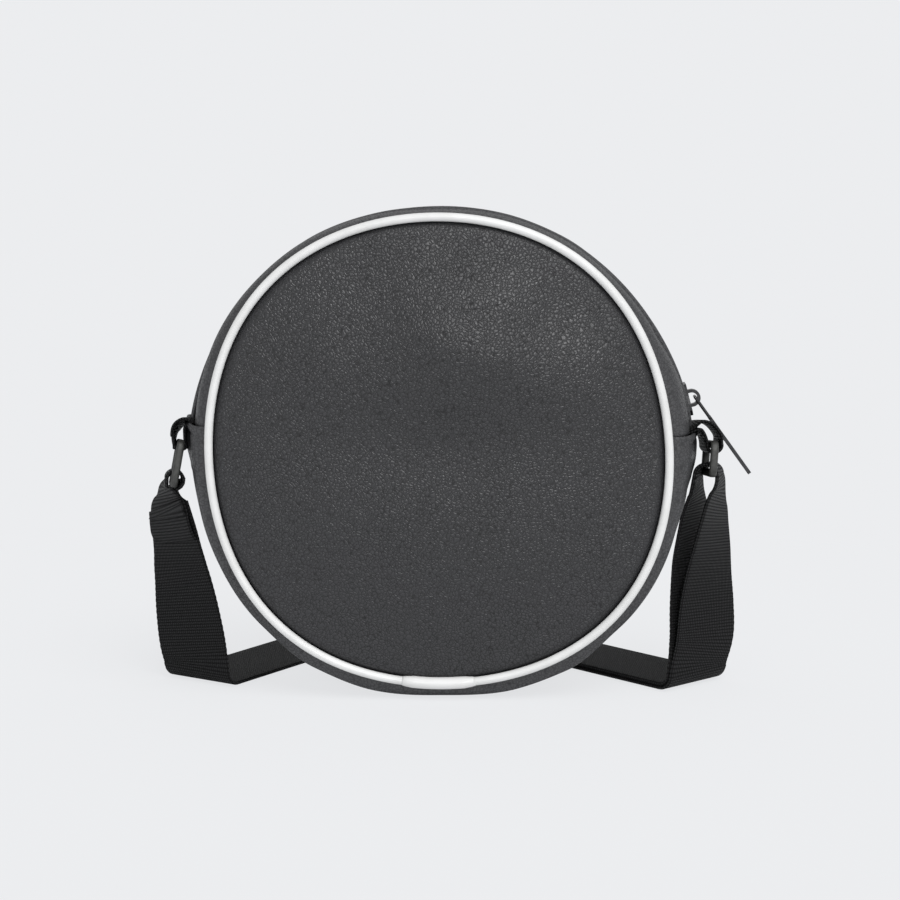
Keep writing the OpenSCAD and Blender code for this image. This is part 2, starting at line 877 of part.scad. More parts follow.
left_drop = [
    drop_station(left_top, left_swing, 0, 0, 1, -80),
    drop_station(left_top, left_swing, 0.21, 0.25, 0.84, -60),
    drop_station(left_top, left_swing, 0.4, 0.5, 0.64, -46),
    drop_station(left_top, left_swing, 0.61, 0.75, 0.42, -37),
    drop_station(left_top, left_swing, 0.8, 1, 0.24, -33),
];
right_drop = [
    drop_station(right_top, -right_swing, 0, 0, 1, 82),
    drop_station(right_top, -right_swing, 0.17, 0.25, 0.84, 67),
    drop_station(right_top, -right_swing, 0.4, 0.5, 0.65, 57),
    drop_station(right_top, -right_swing, 0.6, 0.75, 0.43, 48),
    drop_station(right_top, -right_swing, 0.71, 1, 0.24, 45),
];

// The right strap's inner layer hangs apart from the outer one and meets it on the ground
apart_shares = [1, 1, 0.95, 0.65, 0.4];
right_inner_drop = [
    for (i = [0 : len(right_drop) - 1])
        let(s = right_drop[i], apart = (legs_apart - second_layer) * apart_shares[i])
        [s.x - apart, s.y, s.z, s[3], s[4]]
];
left_foot = [left_top.x + left_swing, -strap_forward];
right_foot = [right_top.x - right_swing, -strap_forward];

// The crease lies where the two runs along the ground meet, along the middle of their directions
left_dir = run_dir(left_yaw, 0);
right_dir = run_dir(right_yaw, 0);
feet = right_foot - left_foot;
spread = left_dir.x * right_dir.y - left_dir.y * right_dir.x;
left_reach = (feet.x * right_dir.y - feet.y * right_dir.x) / spread;
right_reach = (feet.x * left_dir.y - feet.y * left_dir.x) / spread;
crease = [left_foot.x + left_dir.x * left_reach, left_foot.y + left_dir.y * left_reach, 0];
crease_dir = (left_dir - right_dir) / norm(left_dir - right_dir);
crease_out = [-crease_dir.y, crease_dir.x, 0];
crease_r = second_layer / 2;
crease_step = 30;

// Edge points of a strip of the given yaw where it meets the crease, `out` beyond it and `z` high
function crease_row(yaw, out, z) =
    let(
        half = crease_dir * web_w / 2 / (crease_dir * width_dir(yaw)),
        p = crease + crease_out * out
    )
    [[p.x, p.y, z] - half, [p.x, p.y, z] + half];

// The strap folds over upwards at the crease; `height` counts towards the fold's inside
function fold_rows(height) = [
    for (a = [0 : crease_step : 180])
        let(r = crease_r - height)
        crease_row(left_yaw, r * sin(a), web_t / 2 + crease_r - r * cos(a))
];

function left_rows(height) =
    concat(rows(concat(left_drop, bend(left_foot, left_yaw)), height), fold_rows(height));

module strap_left() {
    color("#1b1c1e") slab(left_rows(-web_t / 2), left_rows(web_t / 2));
}

// The sewn end of the left strap, folded back on its outer side down to `z_end`
function tail_stations(z_end) = [
    for (i = [0 : len(left_drop) - 1])
        let(s = left_drop[i], before = left_drop[max(i - 1, 0)])
        if (before.z > z_end)
            s.z > z_end ? s : mix(before, s, (before.z - z_end) / (before.z - s.z))
];

module strap_tail() {
    stations = tail_stations(left_top.y - tail_l);
    color("#1b1c1e")
        slab(
            rows(stations, -second_layer - web_t / 2),
            rows(stations, -second_layer + web_t / 2)
        );
}

// Adjuster: a wire frame with a middle bar, lying over the two layers of the right strap
bar_r = adjuster_bar_d / 2;
bar_z = 2 * web_t + layer_gap + ring_gap / 2 + bar_r;
bar_half = web_w / 2 + ring_side_gap + bar_r;
hug_in_r = bar_r + ring_gap / 2;
hug_out_r = hug_in_r + web_t;
hump_r = hug_out_r + ring_gap / 2 + web_t / 2;
hug_lap = 1;
hug_root = adjuster_l / 2 - bar_r - web_t;
hug_foot = hug_root + hug_lap;
climb_angle = atan2(bar_z - web_t, hug_foot) + asin(hug_out_r / norm([hug_foot, bar_z - web_t]));

module at_adjuster() {
    place = along(right_foot, right_yaw, adjuster_at, 0);
    translate([place.x, place.y, 0]) rotate([0, 0, right_yaw]) children();
}

module strap_adjuster() {
    color("#4a4b4f") at_adjuster() translate([0, 0, bar_z]) {
        for (y = [-1, 0, 1]) translate([0, y * adjuster_l / 2, 0])
            rotate([0, 90, 0]) cylinder(r = bar_r, h = 2 * bar_half, center = true);
        for (x = [-1, 1]) translate([x * bar_half, 0, 0]) {
            rotate([90, 0, 0]) cylinder(r = bar_r, h = adjuster_l, center = true);
            for (y = [-1, 1]) translate([0, y * adjuster_l / 2, 0]) sphere(bar_r);
        }
    }
}

// The upper layer comes from the ring, dips under the frame, climbs over its middle bar
// and runs on along the ground, then climbs onto the left run's lower layer at the crease
hump_rise = bar_z + hump_r * cos(climb_angle);
hump_reach = hump_r * sin(climb_angle);
near_reach = hump_reach + (hump_rise - web_t / 2 - second_layer) / tan(climb_angle);
far_reach = hump_reach + (hump_rise - web_t / 2) / tan(climb_angle);
crossing = web_w / 2 * (1 + abs(left_dir * right_dir)) / abs(spread) + climb_l / 4;

function upper_run() =
    let(low = web_t / 2, high = low + second_layer, end = right_reach - bend_r)
    [
        for (s = [
            [adjuster_at - near_reach, high, climb_angle / 2],
            [adjuster_at - hump_reach, hump_rise, climb_angle],
            [adjuster_at - hump_reach / 2, bar_z + hump_r * cos(climb_angle / 2), climb_angle / 2],
            [adjuster_at, bar_z + hump_r, 0],
            [adjuster_at + hump_reach / 2, bar_z + hump_r * cos(climb_angle / 2), -climb_angle / 2],
            [adjuster_at + hump_reach, hump_rise, -climb_angle],
            [adjuster_at + far_reach, low, -climb_angle / 2],
            [end - crossing - climb_l, low, 0],
            [end - crossing, high, 0],
        ])
            along(right_foot, right_yaw, s[0], s[1], s[2])
    ];

function right_rows(height) = concat(
    rows(concat(right_inner_drop, bend(right_foot, right_yaw)), height + second_layer),
    rows(upper_run(), height),
    [crease_row(right_yaw, -layer_gap, web_t / 2 + second_layer + height)]
);

module strap_right() {
    color("#1b1c1e") slab(right_rows(-web_t / 2), right_rows(web_t / 2));
}

// The lower layer ends in a loop sewn round the adjuster's middle bar
function return_rows(height) = rows(
    concat(
        right_drop,
        bend(right_foot, right_yaw),
        [along(right_foot, right_yaw, adjuster_at - hug_root - hug_lap / 2, web_t / 2)]
    ),
    height
);

module strap_return() {
    color("#1b1c1e") {
        slab(return_rows(-web_t / 2), return_rows(web_t / 2));
        at_adjuster()
            rotate([90, 0, 90])
                linear_extrude(web_w - 2 * layer_gap, center = true)
                    difference() {
                        hull() {
                            translate([0, bar_z]) circle(hug_out_r, $fn = 32);
                            translate([-hug_foot, layer_gap]) square([hug_lap, web_t - 2 * layer_gap]);
                        }
                        hull() {
                            translate([0, bar_z]) circle(hug_in_r, $fn = 32);
                            translate([-hug_root, web_t / 2]) circle(layer_gap, $fn = 8);
                        }
                    }
    }
}

back_panel();
back_foam();
back_lining();
front_panel();
front_foam();
front_lining();
mouth_panel();
mouth_foam();
mouth_lining();
back_piping();
back_piping_core();
piping_sleeve();
front_piping();
front_piping_core();
mouth_piping();
mouth_piping_core();
lower_gusset();
gusset_stiffener();
gusset_lining();
zip_strip_back();
zip_strip_front();
mouth_strip();
zip_tape_back();
zip_tape_front();
mouth_tape();
zip_teeth_back();
zip_teeth_front();
mouth_teeth();
zip_stops();
zip_slider();
zip_bail();
zip_pull();
tab_left();
tab_right();
ring_left();
ring_right();
strap_loop_left();
strap_loop_right();
strap_tail();
strap_left();
strap_right();
strap_return();
strap_adjuster();
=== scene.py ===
import bpy
import math
import numpy as np
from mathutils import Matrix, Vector, noise


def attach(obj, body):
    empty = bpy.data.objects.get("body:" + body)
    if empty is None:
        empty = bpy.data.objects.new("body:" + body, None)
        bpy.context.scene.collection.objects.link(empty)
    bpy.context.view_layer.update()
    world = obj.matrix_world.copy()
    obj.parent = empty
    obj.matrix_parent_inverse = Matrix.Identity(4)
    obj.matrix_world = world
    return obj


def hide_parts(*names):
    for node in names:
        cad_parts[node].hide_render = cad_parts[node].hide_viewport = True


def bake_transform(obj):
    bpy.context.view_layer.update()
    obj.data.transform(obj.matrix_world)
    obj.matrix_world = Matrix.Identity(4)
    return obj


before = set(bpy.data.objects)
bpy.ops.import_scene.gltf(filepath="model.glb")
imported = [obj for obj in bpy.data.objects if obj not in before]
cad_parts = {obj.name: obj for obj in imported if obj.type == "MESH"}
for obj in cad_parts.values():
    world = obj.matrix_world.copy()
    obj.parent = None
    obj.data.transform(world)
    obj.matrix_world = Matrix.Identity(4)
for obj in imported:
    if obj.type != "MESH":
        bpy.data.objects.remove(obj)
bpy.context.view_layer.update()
bpy.ops.object.select_all(action="DESELECT")


# Studio. A pale sheet on the ground runs out into a pale surround with no edge between them.
# A wide soft light hangs high at the front right, a narrower one stands low in front and gives
# the leather its sheen, and the walls give the rest.
pale = (0.838, 0.847, 0.864, 1)


def put(node, **values):
    """Sets a node's inputs by their names, with _ for each space."""
    for name, value in values.items():
        node.inputs[name.replace("_", " ")].default_value = value


def add(nodes, kind, mode=None, **values):
    """A new shader node of a kind and mode, with its inputs set."""
    node = nodes.new("ShaderNode" + kind)
    if mode and kind == "MapRange":
        node.interpolation_type = mode
    elif mode:
        node.operation = mode
    put(node, **values)
    return node


def ramp(nodes, dark, light, start=0.0, end=1.0):
    """A shader node that turns a value from start to end into a colour from dark to light."""
    node = add(nodes, "ValToRGB")
    first, last = node.color_ramp.elements
    first.position, last.position = start, end
    first.color, last.color = (*dark, 1), (*light, 1)
    return node


def wire(links, *rows):
    """Joins shader nodes; each row is a node, its output, the next node and its input."""
    for source, output, target, entry in rows:
        links.new(source.outputs[output], target.inputs[entry])


def new_look(name):
    """A new material, with its nodes, its links and the node that shades it."""
    look = bpy.data.materials.new(name)
    look.use_nodes = True
    nodes = look.node_tree.nodes
    return look, nodes, look.node_tree.links, nodes["Principled BSDF"]


bpy.ops.mesh.primitive_plane_add(size=8, location=(0, 0, -0.0004))
ground = bpy.context.object
ground.name = "ground"
ground_look, ground_nodes, ground_links = new_look("pale ground")[:3]
ground.data.materials.append(ground_look)
ground_nodes.clear()
place = add(ground_nodes, "TexCoord")
reach = add(ground_nodes, "VectorMath", "LENGTH")
fade = add(ground_nodes, "MapRange", "SMOOTHSTEP", From_Min=0.12, From_Max=0.42, To_Min=0.86)
ground_ray = add(ground_nodes, "LightPath")
glow = add(ground_nodes, "Math", "MULTIPLY")
sheet_near = add(ground_nodes, "BsdfDiffuse", Color=(0.84, 0.85, 0.865, 1))
sheet_far = add(ground_nodes, "Emission", Color=pale)
blend_out = add(ground_nodes, "MixShader")
ground_end = add(ground_nodes, "OutputMaterial")
wire(ground_links, (place, "Object", reach, 0), (reach, "Value", fade, "Value"),
     (fade, "Result", glow, 0), (ground_ray, "Is Camera Ray", glow, 1), (glow, 0, blend_out, 0),
     (sheet_near, 0, blend_out, 1), (sheet_far, 0, blend_out, 2), (blend_out, 0, ground_end, "Surface"))

walls = bpy.data.worlds.new("pale surround")
bpy.context.scene.world = walls
walls.use_nodes = True
wall_nodes, wall_links = walls.node_tree.nodes, walls.node_tree.links
wall_nodes.clear()
ray = add(wall_nodes, "LightPath")
seen = add(wall_nodes, "Math", "MAXIMUM")
wall_light = add(wall_nodes, "Background", Color=(0.98, 0.99, 1.0, 1), Strength=0.56)
wall_seen = add(wall_nodes, "Background", Color=pale)
which = add(wall_nodes, "MixShader")
wall_end = add(wall_nodes, "OutputWorld")
wire(wall_links, (ray, "Is Transmission Ray", seen, 0), (ray, "Is Camera Ray", seen, 1),
     (seen, 0, which, 0), (wall_light, 0, which, 1), (wall_seen, 0, which, 2),
     (which, 0, wall_end, "Surface"))

for word, strength, spread_angle, shines in (
    ("overhead softbox", 1.6, 42, (-0.42, 0.62, -1.0)),
    ("front panel light", 1.0, 12, (-0.12, 1.0, -0.29)),
):
    lamp = bpy.data.lights.new(word, "SUN")
    lamp.energy = strength
    lamp.angle = math.radians(spread_angle)
    hung = bpy.data.objects.new(word, lamp)
    bpy.context.collection.objects.link(hung)
    hung.rotation_euler = Vector(shines).to_track_quat("-Z", "Y").to_euler()

eye = Vector((0.03119, -1.03275, 0.25479))
aim = Vector((0.00501, -0.033, 0.11067))
camera = bpy.data.objects.new("camera", bpy.data.cameras.new("camera"))
bpy.context.collection.objects.link(camera)
camera.location = eye
camera.rotation_euler = (aim - eye).to_track_quat("-Z", "Y").to_euler()
camera.data.lens = 93.4
camera.data.sensor_width = 36
bpy.context.scene.camera = camera
bpy.context.scene.view_settings.view_transform = "Standard"


# Back panel. A disc of pebbled leather over foam, sewn into the seam all round, so its face
# swells and its rim rolls in under the piping. Handling has left it fuller above its middle.
middle_z = 0.1088
seam_radius = 0.1019
rim_y = 0.0336
panel_crown = 0.005
dome_radius = 0.0999
panel_radius = 0.1002
rim_roll_width = 0.0042
rim_roll_drop = 0.0024
panel_thickness = 0.0039


def out_of_round(angle):
    """How far the sewn seam stands off a true circle, as the finished bag does, in metres."""
    return 0.001 * (
        0.42 - 1.08 * math.cos(2 * angle) - 0.66 * math.sin(2 * angle) - 0.38 * math.sin(3 * angle)
        - 1.45 * math.cos(4 * angle) - 0.29 * math.sin(4 * angle)
    )


def on_disc(radius, angle, y):
    """A point of the bag by its distance from the middle, its angle and its depth."""
    r = radius + out_of_round(angle) * min(1, radius / seam_radius) ** 2
    return (r * math.cos(angle), y, middle_z + r * math.sin(angle))


def make_piece(name, points, faces, smooth=True, merge=True):
    """A mesh piece from its points and faces, merged where they meet and turned outwards."""
    mesh = bpy.data.meshes.new(name)
    mesh.from_pydata([tuple(p) for p in points], [], faces)
    piece = bpy.data.objects.new(name, mesh)
    bpy.context.collection.objects.link(piece)
    bpy.ops.object.select_all(action="DESELECT")
    piece.select_set(True)
    bpy.context.view_layer.objects.active = piece
    bpy.ops.object.mode_set(mode="EDIT")
    bpy.ops.mesh.select_all(action="SELECT")
    if merge:
        bpy.ops.mesh.remove_doubles(threshold=1e-6)
    bpy.ops.mesh.normals_make_consistent(inside=False)
    bpy.ops.object.mode_set(mode="OBJECT")
    if smooth:
        bpy.ops.object.shade_smooth()
    return piece


def dome_y(radius):
    """Depth of the crowned face at a distance from the panel's middle."""
    ball = (dome_radius**2 + panel_crown**2) / (2 * panel_crown)
    return rim_y + panel_crown - (ball - math.sqrt(ball * ball - radius * radius))


def swell(x, z, marks):
    """Handling marks on a face: each is (x, z, height, width across, width up)."""
    return sum(h * math.exp(-((x - mx) / wx) ** 2 - ((z - mz) / wz) ** 2)
               for mx, mz, h, wx, wz in marks)


def disc_layers(name, side, radii, outer, inner, rounds=192):
    """A disc of two skins, joined at the rim, on the -Y side (side -1) or the +Y side (side 1)."""
    points, faces = [], []
    for depth in (outer, inner):
        for r in radii:
            for k in range(rounds):
                x, _, z = on_disc(r, 2 * math.pi * k / rounds, 0)
                points.append((x, side * depth(r, x, z - middle_z), z))
    ring = lambda layer, i: (layer * len(radii) + i) * rounds
    last = len(radii) - 1
    for k in range(rounds):
        j = (k + 1) % rounds
        for layer in (0, 1):
            for i in range(last):
                p, q = ring(layer, i), ring(layer, i + 1)
                faces.append((p + k, p + j, q + j, q + k))
        faces.append((ring(0, last) + k, ring(0, last) + j, ring(1, last) + j, ring(1, last) + k))
    return make_piece(name, points, faces)


def padded_disc(name, side, marks):
    """A crowned padded panel, its rows closer where its rim rolls in."""
    edge, close_rows = panel_radius, 0.004
    radii = [edge * (i / 44) ** 0.92 for i in range(45)]
    radii = [r for r in radii if r < edge - close_rows]
    radii += [edge - close_rows + close_rows * k / 6 for k in range(7)]

    def outer(r, x, z):
        roll = rim_roll_drop * max(0.0, (r - edge + rim_roll_width) / rim_roll_width) ** 2.4
        return dome_y(min(r, dome_radius)) - roll + max(0.0, 1 - (r / edge) ** 6) * swell(x, z, marks)

    def inner(r, x, z):
        return dome_y(min(r, dome_radius)) - panel_thickness

    return disc_layers(name, side, radii, outer, inner)


back_marks = [
    (0.020, 0.044, 0.0034, 0.050, 0.031),
    (0.050, 0.062, -0.0018, 0.017, 0.015),
    (-0.030, 0.066, -0.0009, 0.018, 0.030),
    (0.072, 0.030, 0.0009, 0.020, 0.028),
    (-0.006, 0.004, -0.0014, 0.060, 0.020),
    (0.002, 0.050, 0.0009, 0.012, 0.010),
    (0.024, 0.044, 0.0007, 0.013, 0.010),
    (0.029, 0.066, 0.0012, 0.018, 0.011),
]
back_face = padded_disc("back_panel_leather", -1, back_marks)
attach(back_face, "bag")
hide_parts("back_panel", "back_foam")

# The grain of the leather is pressed in: small wavy pebbles with sharp creases between them.
grain = bpy.data.node_groups.new("pebble grain", "ShaderNodeTree")
grain.interface.new_socket("Pebble", in_out="INPUT", socket_type="NodeSocketFloat")
for word in ("Height", "Crease", "Wear"):
    grain.interface.new_socket(word, in_out="OUTPUT", socket_type="NodeSocketFloat")
g, gl = grain.nodes, grain.links
g_in, g_out = g.new("NodeGroupInput"), g.new("NodeGroupOutput")
where = add(g, "TexCoord")
sway = add(g, "TexNoise", Scale=210, Detail=2)
centred = add(g, "VectorMath", "SUBTRACT")
centred.inputs[1].default_value = (0.5, 0.5, 0.5)
swayed = add(g, "VectorMath", "MULTIPLY_ADD")
swayed.inputs[1].default_value = (0.0034, 0.0034, 0.0034)
pebbles = add(g, "TexVoronoi")
pebbles.feature = "DISTANCE_TO_EDGE"
fine = add(g, "TexVoronoi")
fine.feature = "DISTANCE_TO_EDGE"
finer = add(g, "Math", "MULTIPLY")
finer.inputs[1].default_value = 2.1
rounded = add(g, "MapRange", "SMOOTHERSTEP", From_Max=0.4)
fine_round = add(g, "MapRange", "SMOOTHSTEP", From_Max=0.3)
both = add(g, "Math", "MULTIPLY_ADD")
both.inputs[1].default_value = 0.12
soft_wear = add(g, "TexNoise", Scale=26, Detail=4)
creased = add(g, "MapRange", From_Max=0.15, To_Min=1.0, To_Max=0.0)
wire(gl, (where, "Object", sway, "Vector"), (sway, "Color", centred, 0), (centred, 0, swayed, 0),
     (where, "Object", swayed, 2), (swayed, 0, pebbles, "Vector"), (swayed, 0, fine, "Vector"),
     (g_in, "Pebble", pebbles, "Scale"), (g_in, "Pebble", finer, 0), (finer, 0, fine, "Scale"),
     (pebbles, "Distance", rounded, "Value"), (pebbles, "Distance", creased, "Value"),
     (fine, "Distance", fine_round, "Value"), (fine_round, "Result", both, 0),
     (rounded, "Result", both, 2), (where, "Object", soft_wear, "Vector"), (both, 0, g_out, "Height"),
     (creased, "Result", g_out, "Crease"), (soft_wear, "Fac", g_out, "Wear"))


def leather(name, base, crease_painted_shade, roughness, pebble=660, depth=0.00007, strength=1.0):
    """Pebbled leather of one colour, duller in its creases and darkened there with painted shade;
    pebble is its grains to a metre.
    """
    look, n, l, skin = new_look(name)
    put(skin, Specular_IOR_Level=0.5)
    press = add(n, "Group")
    press.node_tree = grain
    put(press, Pebble=pebble)
    # Painted shade: in the grain's creases the base colour turns to the darker crease colour, standing
    # in for the shade that falls there.
    tone = add(n, "Mix")
    tone.data_type = "RGBA"
    tone.inputs[6].default_value = (*base, 1)
    tone.inputs[7].default_value = (*crease_painted_shade, 1)
    patchy = add(n, "MapRange", From_Min=0.3, From_Max=0.7, To_Min=roughness - 0.05,
                 To_Max=roughness + 0.05)
    dull = add(n, "Math", "MULTIPLY_ADD")
    dull.inputs[1].default_value = 0.45
    relief = add(n, "Bump", Strength=strength, Distance=depth)
    wire(l, (press, "Crease", tone, 0), (tone, 2, skin, "Base Color"), (press, "Wear", patchy, "Value"),
         (press, "Crease", dull, 0), (patchy, "Result", dull, 2), (dull, 0, skin, "Roughness"),
         (press, "Height", relief, "Height"), (relief, "Normal", skin, "Normal"))
    return look


# The second colour is the painted shade in the creases.
charcoal = leather("charcoal pebbled leather", (0.020, 0.020, 0.0222), (0.006, 0.006, 0.0067), 0.36)
back_face.data.materials.append(charcoal)


# Front panel. The same padded disc on the far side, in one piece of leather from the bottom to
# the zip.
front_marks = [(0.0, 0.010, 0.0012, 0.060, 0.050), (-0.040, 0.055, -0.0008, 0.022, 0.018)]
front_face = padded_disc("front_panel_leather", 1, front_marks)
front_face.data.materials.append(charcoal)
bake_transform(front_face)
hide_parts("front_panel", "front_foam", "mouth_panel", "mouth_foam")


# Piping. A cord with a coated cover, sewn into both seams, white and smooth, faintly marked where
# the seam pulls at it.
piping_radius = 0.0019
piping_y = 0.033


def seam_tube(name, side, rows, around, closed=False):
    """A round tube on the seam, through rows of an angle and a radius; an open one is capped."""
    points, faces = [], []
    for a, r in rows:
        for m in range(around):
            t = 2 * math.pi * m / around
            y = side * (piping_y + r * math.sin(t))
            points.append(on_disc(seam_radius + r * math.cos(t), a, y))
    last = len(rows) - 1
    for k in range(last + closed):
        for m in range(around):
            k2, m2 = (k + 1) % len(rows), (m + 1) % around
            faces.append((k * around + m, k2 * around + m, k2 * around + m2, k * around + m2))
    if not closed:
        faces += [tuple(range(around)), tuple(last * around + m for m in range(around))]
    piece = make_piece(name, points, faces)
    piece.data.materials.append(white)
    return piece


white, w, wl, white_skin = new_look("white coated piping")
put(white_skin, Coat_Roughness=0.25, Coat_Weight=0.25)
faint = add(w, "TexNoise", Scale=90, Detail=4)
faint_place = add(w, "TexCoord")
off_white = ramp(w, (0.62, 0.62, 0.612), (0.68, 0.68, 0.675), 0.3, 0.6)
rub = add(w, "MapRange", To_Min=0.32, To_Max=0.48)
pulled = add(w, "Bump", Strength=0.25, Distance=0.0002)
wire(wl, (faint_place, "Object", faint, "Vector"), (faint, "Fac", off_white, "Fac"),
     (off_white, "Color", white_skin, "Base Color"), (faint, "Fac", rub, "Value"),
     (rub, "Result", white_skin, "Roughness"), (faint, "Fac", pulled, "Height"),
     (pulled, "Normal", white_skin, "Normal"))

all_round = [(2 * math.pi * k / 256, piping_radius) for k in range(256)]
back_bead = seam_tube("back_piping_bead", -1, all_round, 20, closed=True)
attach(back_bead, "bag")
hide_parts("back_piping", "back_piping_core")

front_bead = seam_tube("front_piping_bead", 1, all_round, 20, closed=True)
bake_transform(front_bead)
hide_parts("front_piping", "front_piping_core", "mouth_piping", "mouth_piping_core")

# Where the piping's two ends meet, at the bottom, a short sleeve is pulled over them. Its ends
# are shaved thin so that they lie down on the piping.
sleeve_half_length = 0.0162
sleeve_end_radius = 0.00195
sleeve_rise = 0.00075
sleeve_rows = []
for k in range(33):
    s = -1 + 2 * k / 32
    sleeve_rows.append((-math.pi / 2 + s * sleeve_half_length / seam_radius,
                        sleeve_end_radius + sleeve_rise * min(1, (1 - abs(s)) * 3.2) ** 0.7))
for side, word in ((-1, "back"), (1, "front")):
    sleeve = seam_tube(word + "_piping_sleeve", side, sleeve_rows, 24)
    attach(sleeve, "bag")
    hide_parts("piping_sleeve")


# Lower gusset. A band of thinner leather from one side seam round the bottom to the other, sewn
# along both edges. It swells between its seams, wrinkles a little, and is flat where it stands.
gusset_half = 0.0309
slot_half = 0.0072
seam_ends_z = (0.0077, 0.0117)
side_half_width = 0.114
foot_half_height = 0.1094
gusset_thickness = 0.0014
gusset_length = 0.34


def bulge(u, power=3.4):
    """The share of its full swell that a band has at u, which is 1 at its seam."""
    return (1 - min(abs(u), 1) ** power) ** (1 / power)


def ease(t):
    """A soft step from 0 to 1."""
    t = min(max(t, 0), 1)
    return t * t * (3 - 2 * t)


# How far the swell stands off its drawn outline, in millimetres, by the angle from the right.
sag_marks = [
    (0, 0.2), (15, 1.3), (30, -1.2), (45, -1.7), (60, -0.9), (75, -0.3), (90, -0.6), (105, 0),
    (120, 0.2), (135, -0.2), (150, 0), (165, -0.5), (180, -1.9), (195, -3), (210, -3.5), (225, -3.4),
    (240, -1.2), (255, 0.7), (270, 0.3), (285, 0.8), (300, -0.8), (315, -4.4), (330, -4.4),
    (340, -4.2), (350, -2.4), (360, 0.2),
]


def gusset_sag(angle):
    """The marks above at any angle, with the seam's own departure from a circle, in metres."""
    turn = math.degrees(angle) % 360
    for (a0, s0), (a1, s1) in zip(sag_marks, sag_marks[1:]):
        if turn <= a1:
            break
    return out_of_round(angle) + 0.001 * (s0 + (s1 - s0) * ease((turn - a0) / (a1 - a0)))


def lower_reach(a):
    """Distance from the middle to the outline of the lower gusset, in the bag's middle plane."""
    power = 2.1
    across, down = abs(math.cos(a)) / side_half_width, abs(math.sin(a)) / foot_half_height
    return (across**power + down**power) ** (-1 / power)


def gusset_point(t, u, depth=0.0, ends=seam_ends_z):
    """A point of the band at t along it, from the right side seam, and u across it."""
    seam_ends = [math.asin(z / seam_radius) for z in ends]
    mid_ends = [math.asin(z / side_half_width) for z in ends]
    a = seam_ends[0] - t * (math.pi + sum(seam_ends))
    b = mid_ends[0] - t * (math.pi + sum(mid_ends))
    share = bulge(u, 3.4 + 2.6 * max(0.0, -math.sin(b)) ** 2)
    seam = on_disc(seam_radius, a, 0)
    near_end = min(t, 1 - t)
    sag = gusset_sag(b) * max(ease(near_end * 12), ease((abs(u) * gusset_half - slot_half) / 0.007))
    mid_r = lower_reach(b) + sag
    x = seam[0] + (mid_r * math.cos(b) - seam[0]) * share
    z = seam[2] - middle_z + (mid_r * math.sin(b) - seam[2] + middle_z) * share
    out = math.hypot(x, z)
    wave = 0.0006 * noise.noise(Vector((x * 30, u * 1.3, z * 30))) * share * min(1, near_end * 9)
    wave += 0.0006 * math.exp(-near_end * 34) * math.sin(u * 7 + 1.2 * math.sin(near_end * 60)) * share
    from_end = near_end * gusset_length
    wave += 0.0006 * math.exp(-((from_end - 0.0014) / 0.0011) ** 2)
    wave -= 0.0005 * math.exp(-((from_end - 0.0036) / 0.0008) ** 2)
    k = (out + wave - depth) / out
    return (x * k, u * gusset_half, max(middle_z + z * k, depth))


def band(name, look, point, steps, across, thickness, u_of=lambda s: s):
    """A band with its outer face, its inner face and the four edges between them."""
    points = []
    for depth in (0.0, thickness):
        for i in range(steps + 1):
            for j in range(across + 1):
                points.append(point(i / steps, u_of(j / across), depth))
    cols, layer = across + 1, (steps + 1) * (across + 1)
    faces = []
    for base in (0, layer):
        for i in range(steps):
            for j in range(across):
                p = base + i * cols + j
                faces.append((p, p + 1, p + cols + 1, p + cols))
    for i in range(steps):
        for j in (0, across):
            p = i * cols + j
            faces.append((p, p + cols, layer + p + cols, layer + p))
    for j in range(across):
        for i in (0, steps):
            p = i * cols + j
            faces.append((p, p + 1, layer + p + 1, layer + p))
    piece = make_piece(name, points, faces)
    piece.data.materials.append(look)
    return piece


def closer_at_ends(s):
    """Spreads a band's rows so that more of them lie near its two ends."""
    return 0.5 - 0.5 * math.cos(math.pi * s)


def rounded_across(s):
    """Spreads a band's columns so that more of them lie near its two seams."""
    return math.sin(math.pi / 2 * (2 * s - 1))


# The second colour is the painted shade in the creases.
side_leather = leather("dark gusset leather", (0.043, 0.043, 0.0455), (0.023, 0.023, 0.0245), 0.42,
                       depth=0.0001, strength=0.45)
lower_band = band("lower_gusset_leather", side_leather,
                  lambda t, u, depth: gusset_point(closer_at_ends(t), u, depth),
                  230, 40, gusset_thickness, rounded_across)
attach(lower_band, "bag")
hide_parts("lower_gusset", "gusset_stiffener")


# Zip strips. Two bands of leather over the top half, each folded under along the zip and held
# by a row of stitches.
zip_drop = 0.0078535
zip_radius = 0.1128535
strip_ends = (0.0078, 0.0118)


def strip_point(side):
    """Points of one strip, at t round the top from the right and u from its fold to its seam."""
    def at(t, u, depth):
        y = slot_half + (gusset_half - slot_half) * u
        seam_ends = [math.asin(z / seam_radius) for z in strip_ends]
        arc_ends = [math.asin((z + zip_drop) / zip_radius) for z in strip_ends]
        a = seam_ends[0] + t * (math.pi - sum(seam_ends))
        b = arc_ends[0] + t * (math.pi - sum(arc_ends))
        share = bulge(y / gusset_half)
        seam = on_disc(seam_radius, a, 0)
        mid_r = zip_radius + gusset_sag(a) * ease((y - slot_half) / 0.007)
        x = seam[0] + (mid_r * math.cos(b) - seam[0]) * share
        z = seam[2] - middle_z + (mid_r * math.sin(b) - zip_drop - seam[2] + middle_z) * share
        out = math.hypot(x, z)
        fold = -0.0006 * max(0.0, 1 - u / 0.06) ** 2
        fold += 0.00035 * math.exp(-((u - 0.10) / 0.05) ** 2)
        fold -= 0.00035 * math.exp(-((u - 0.17) / 0.02) ** 2)
        wave = 0.0004 * noise.noise(Vector((x * 26, y * 40 * side, z * 26))) * min(1, u * 4) * share
        k = (out + fold + wave - depth) / out
        return (x * k, side * y, middle_z + z * k)
    return at


back_strip = band("back_zip_strip", side_leather, strip_point(-1), 200, 34, gusset_thickness)
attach(back_strip, "bag")
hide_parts("zip_strip_back")

front_strip = band("front_zip_strip", side_leather, strip_point(1), 200, 34, gusset_thickness)
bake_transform(front_strip)
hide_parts("zip_strip_front", "mouth_strip")

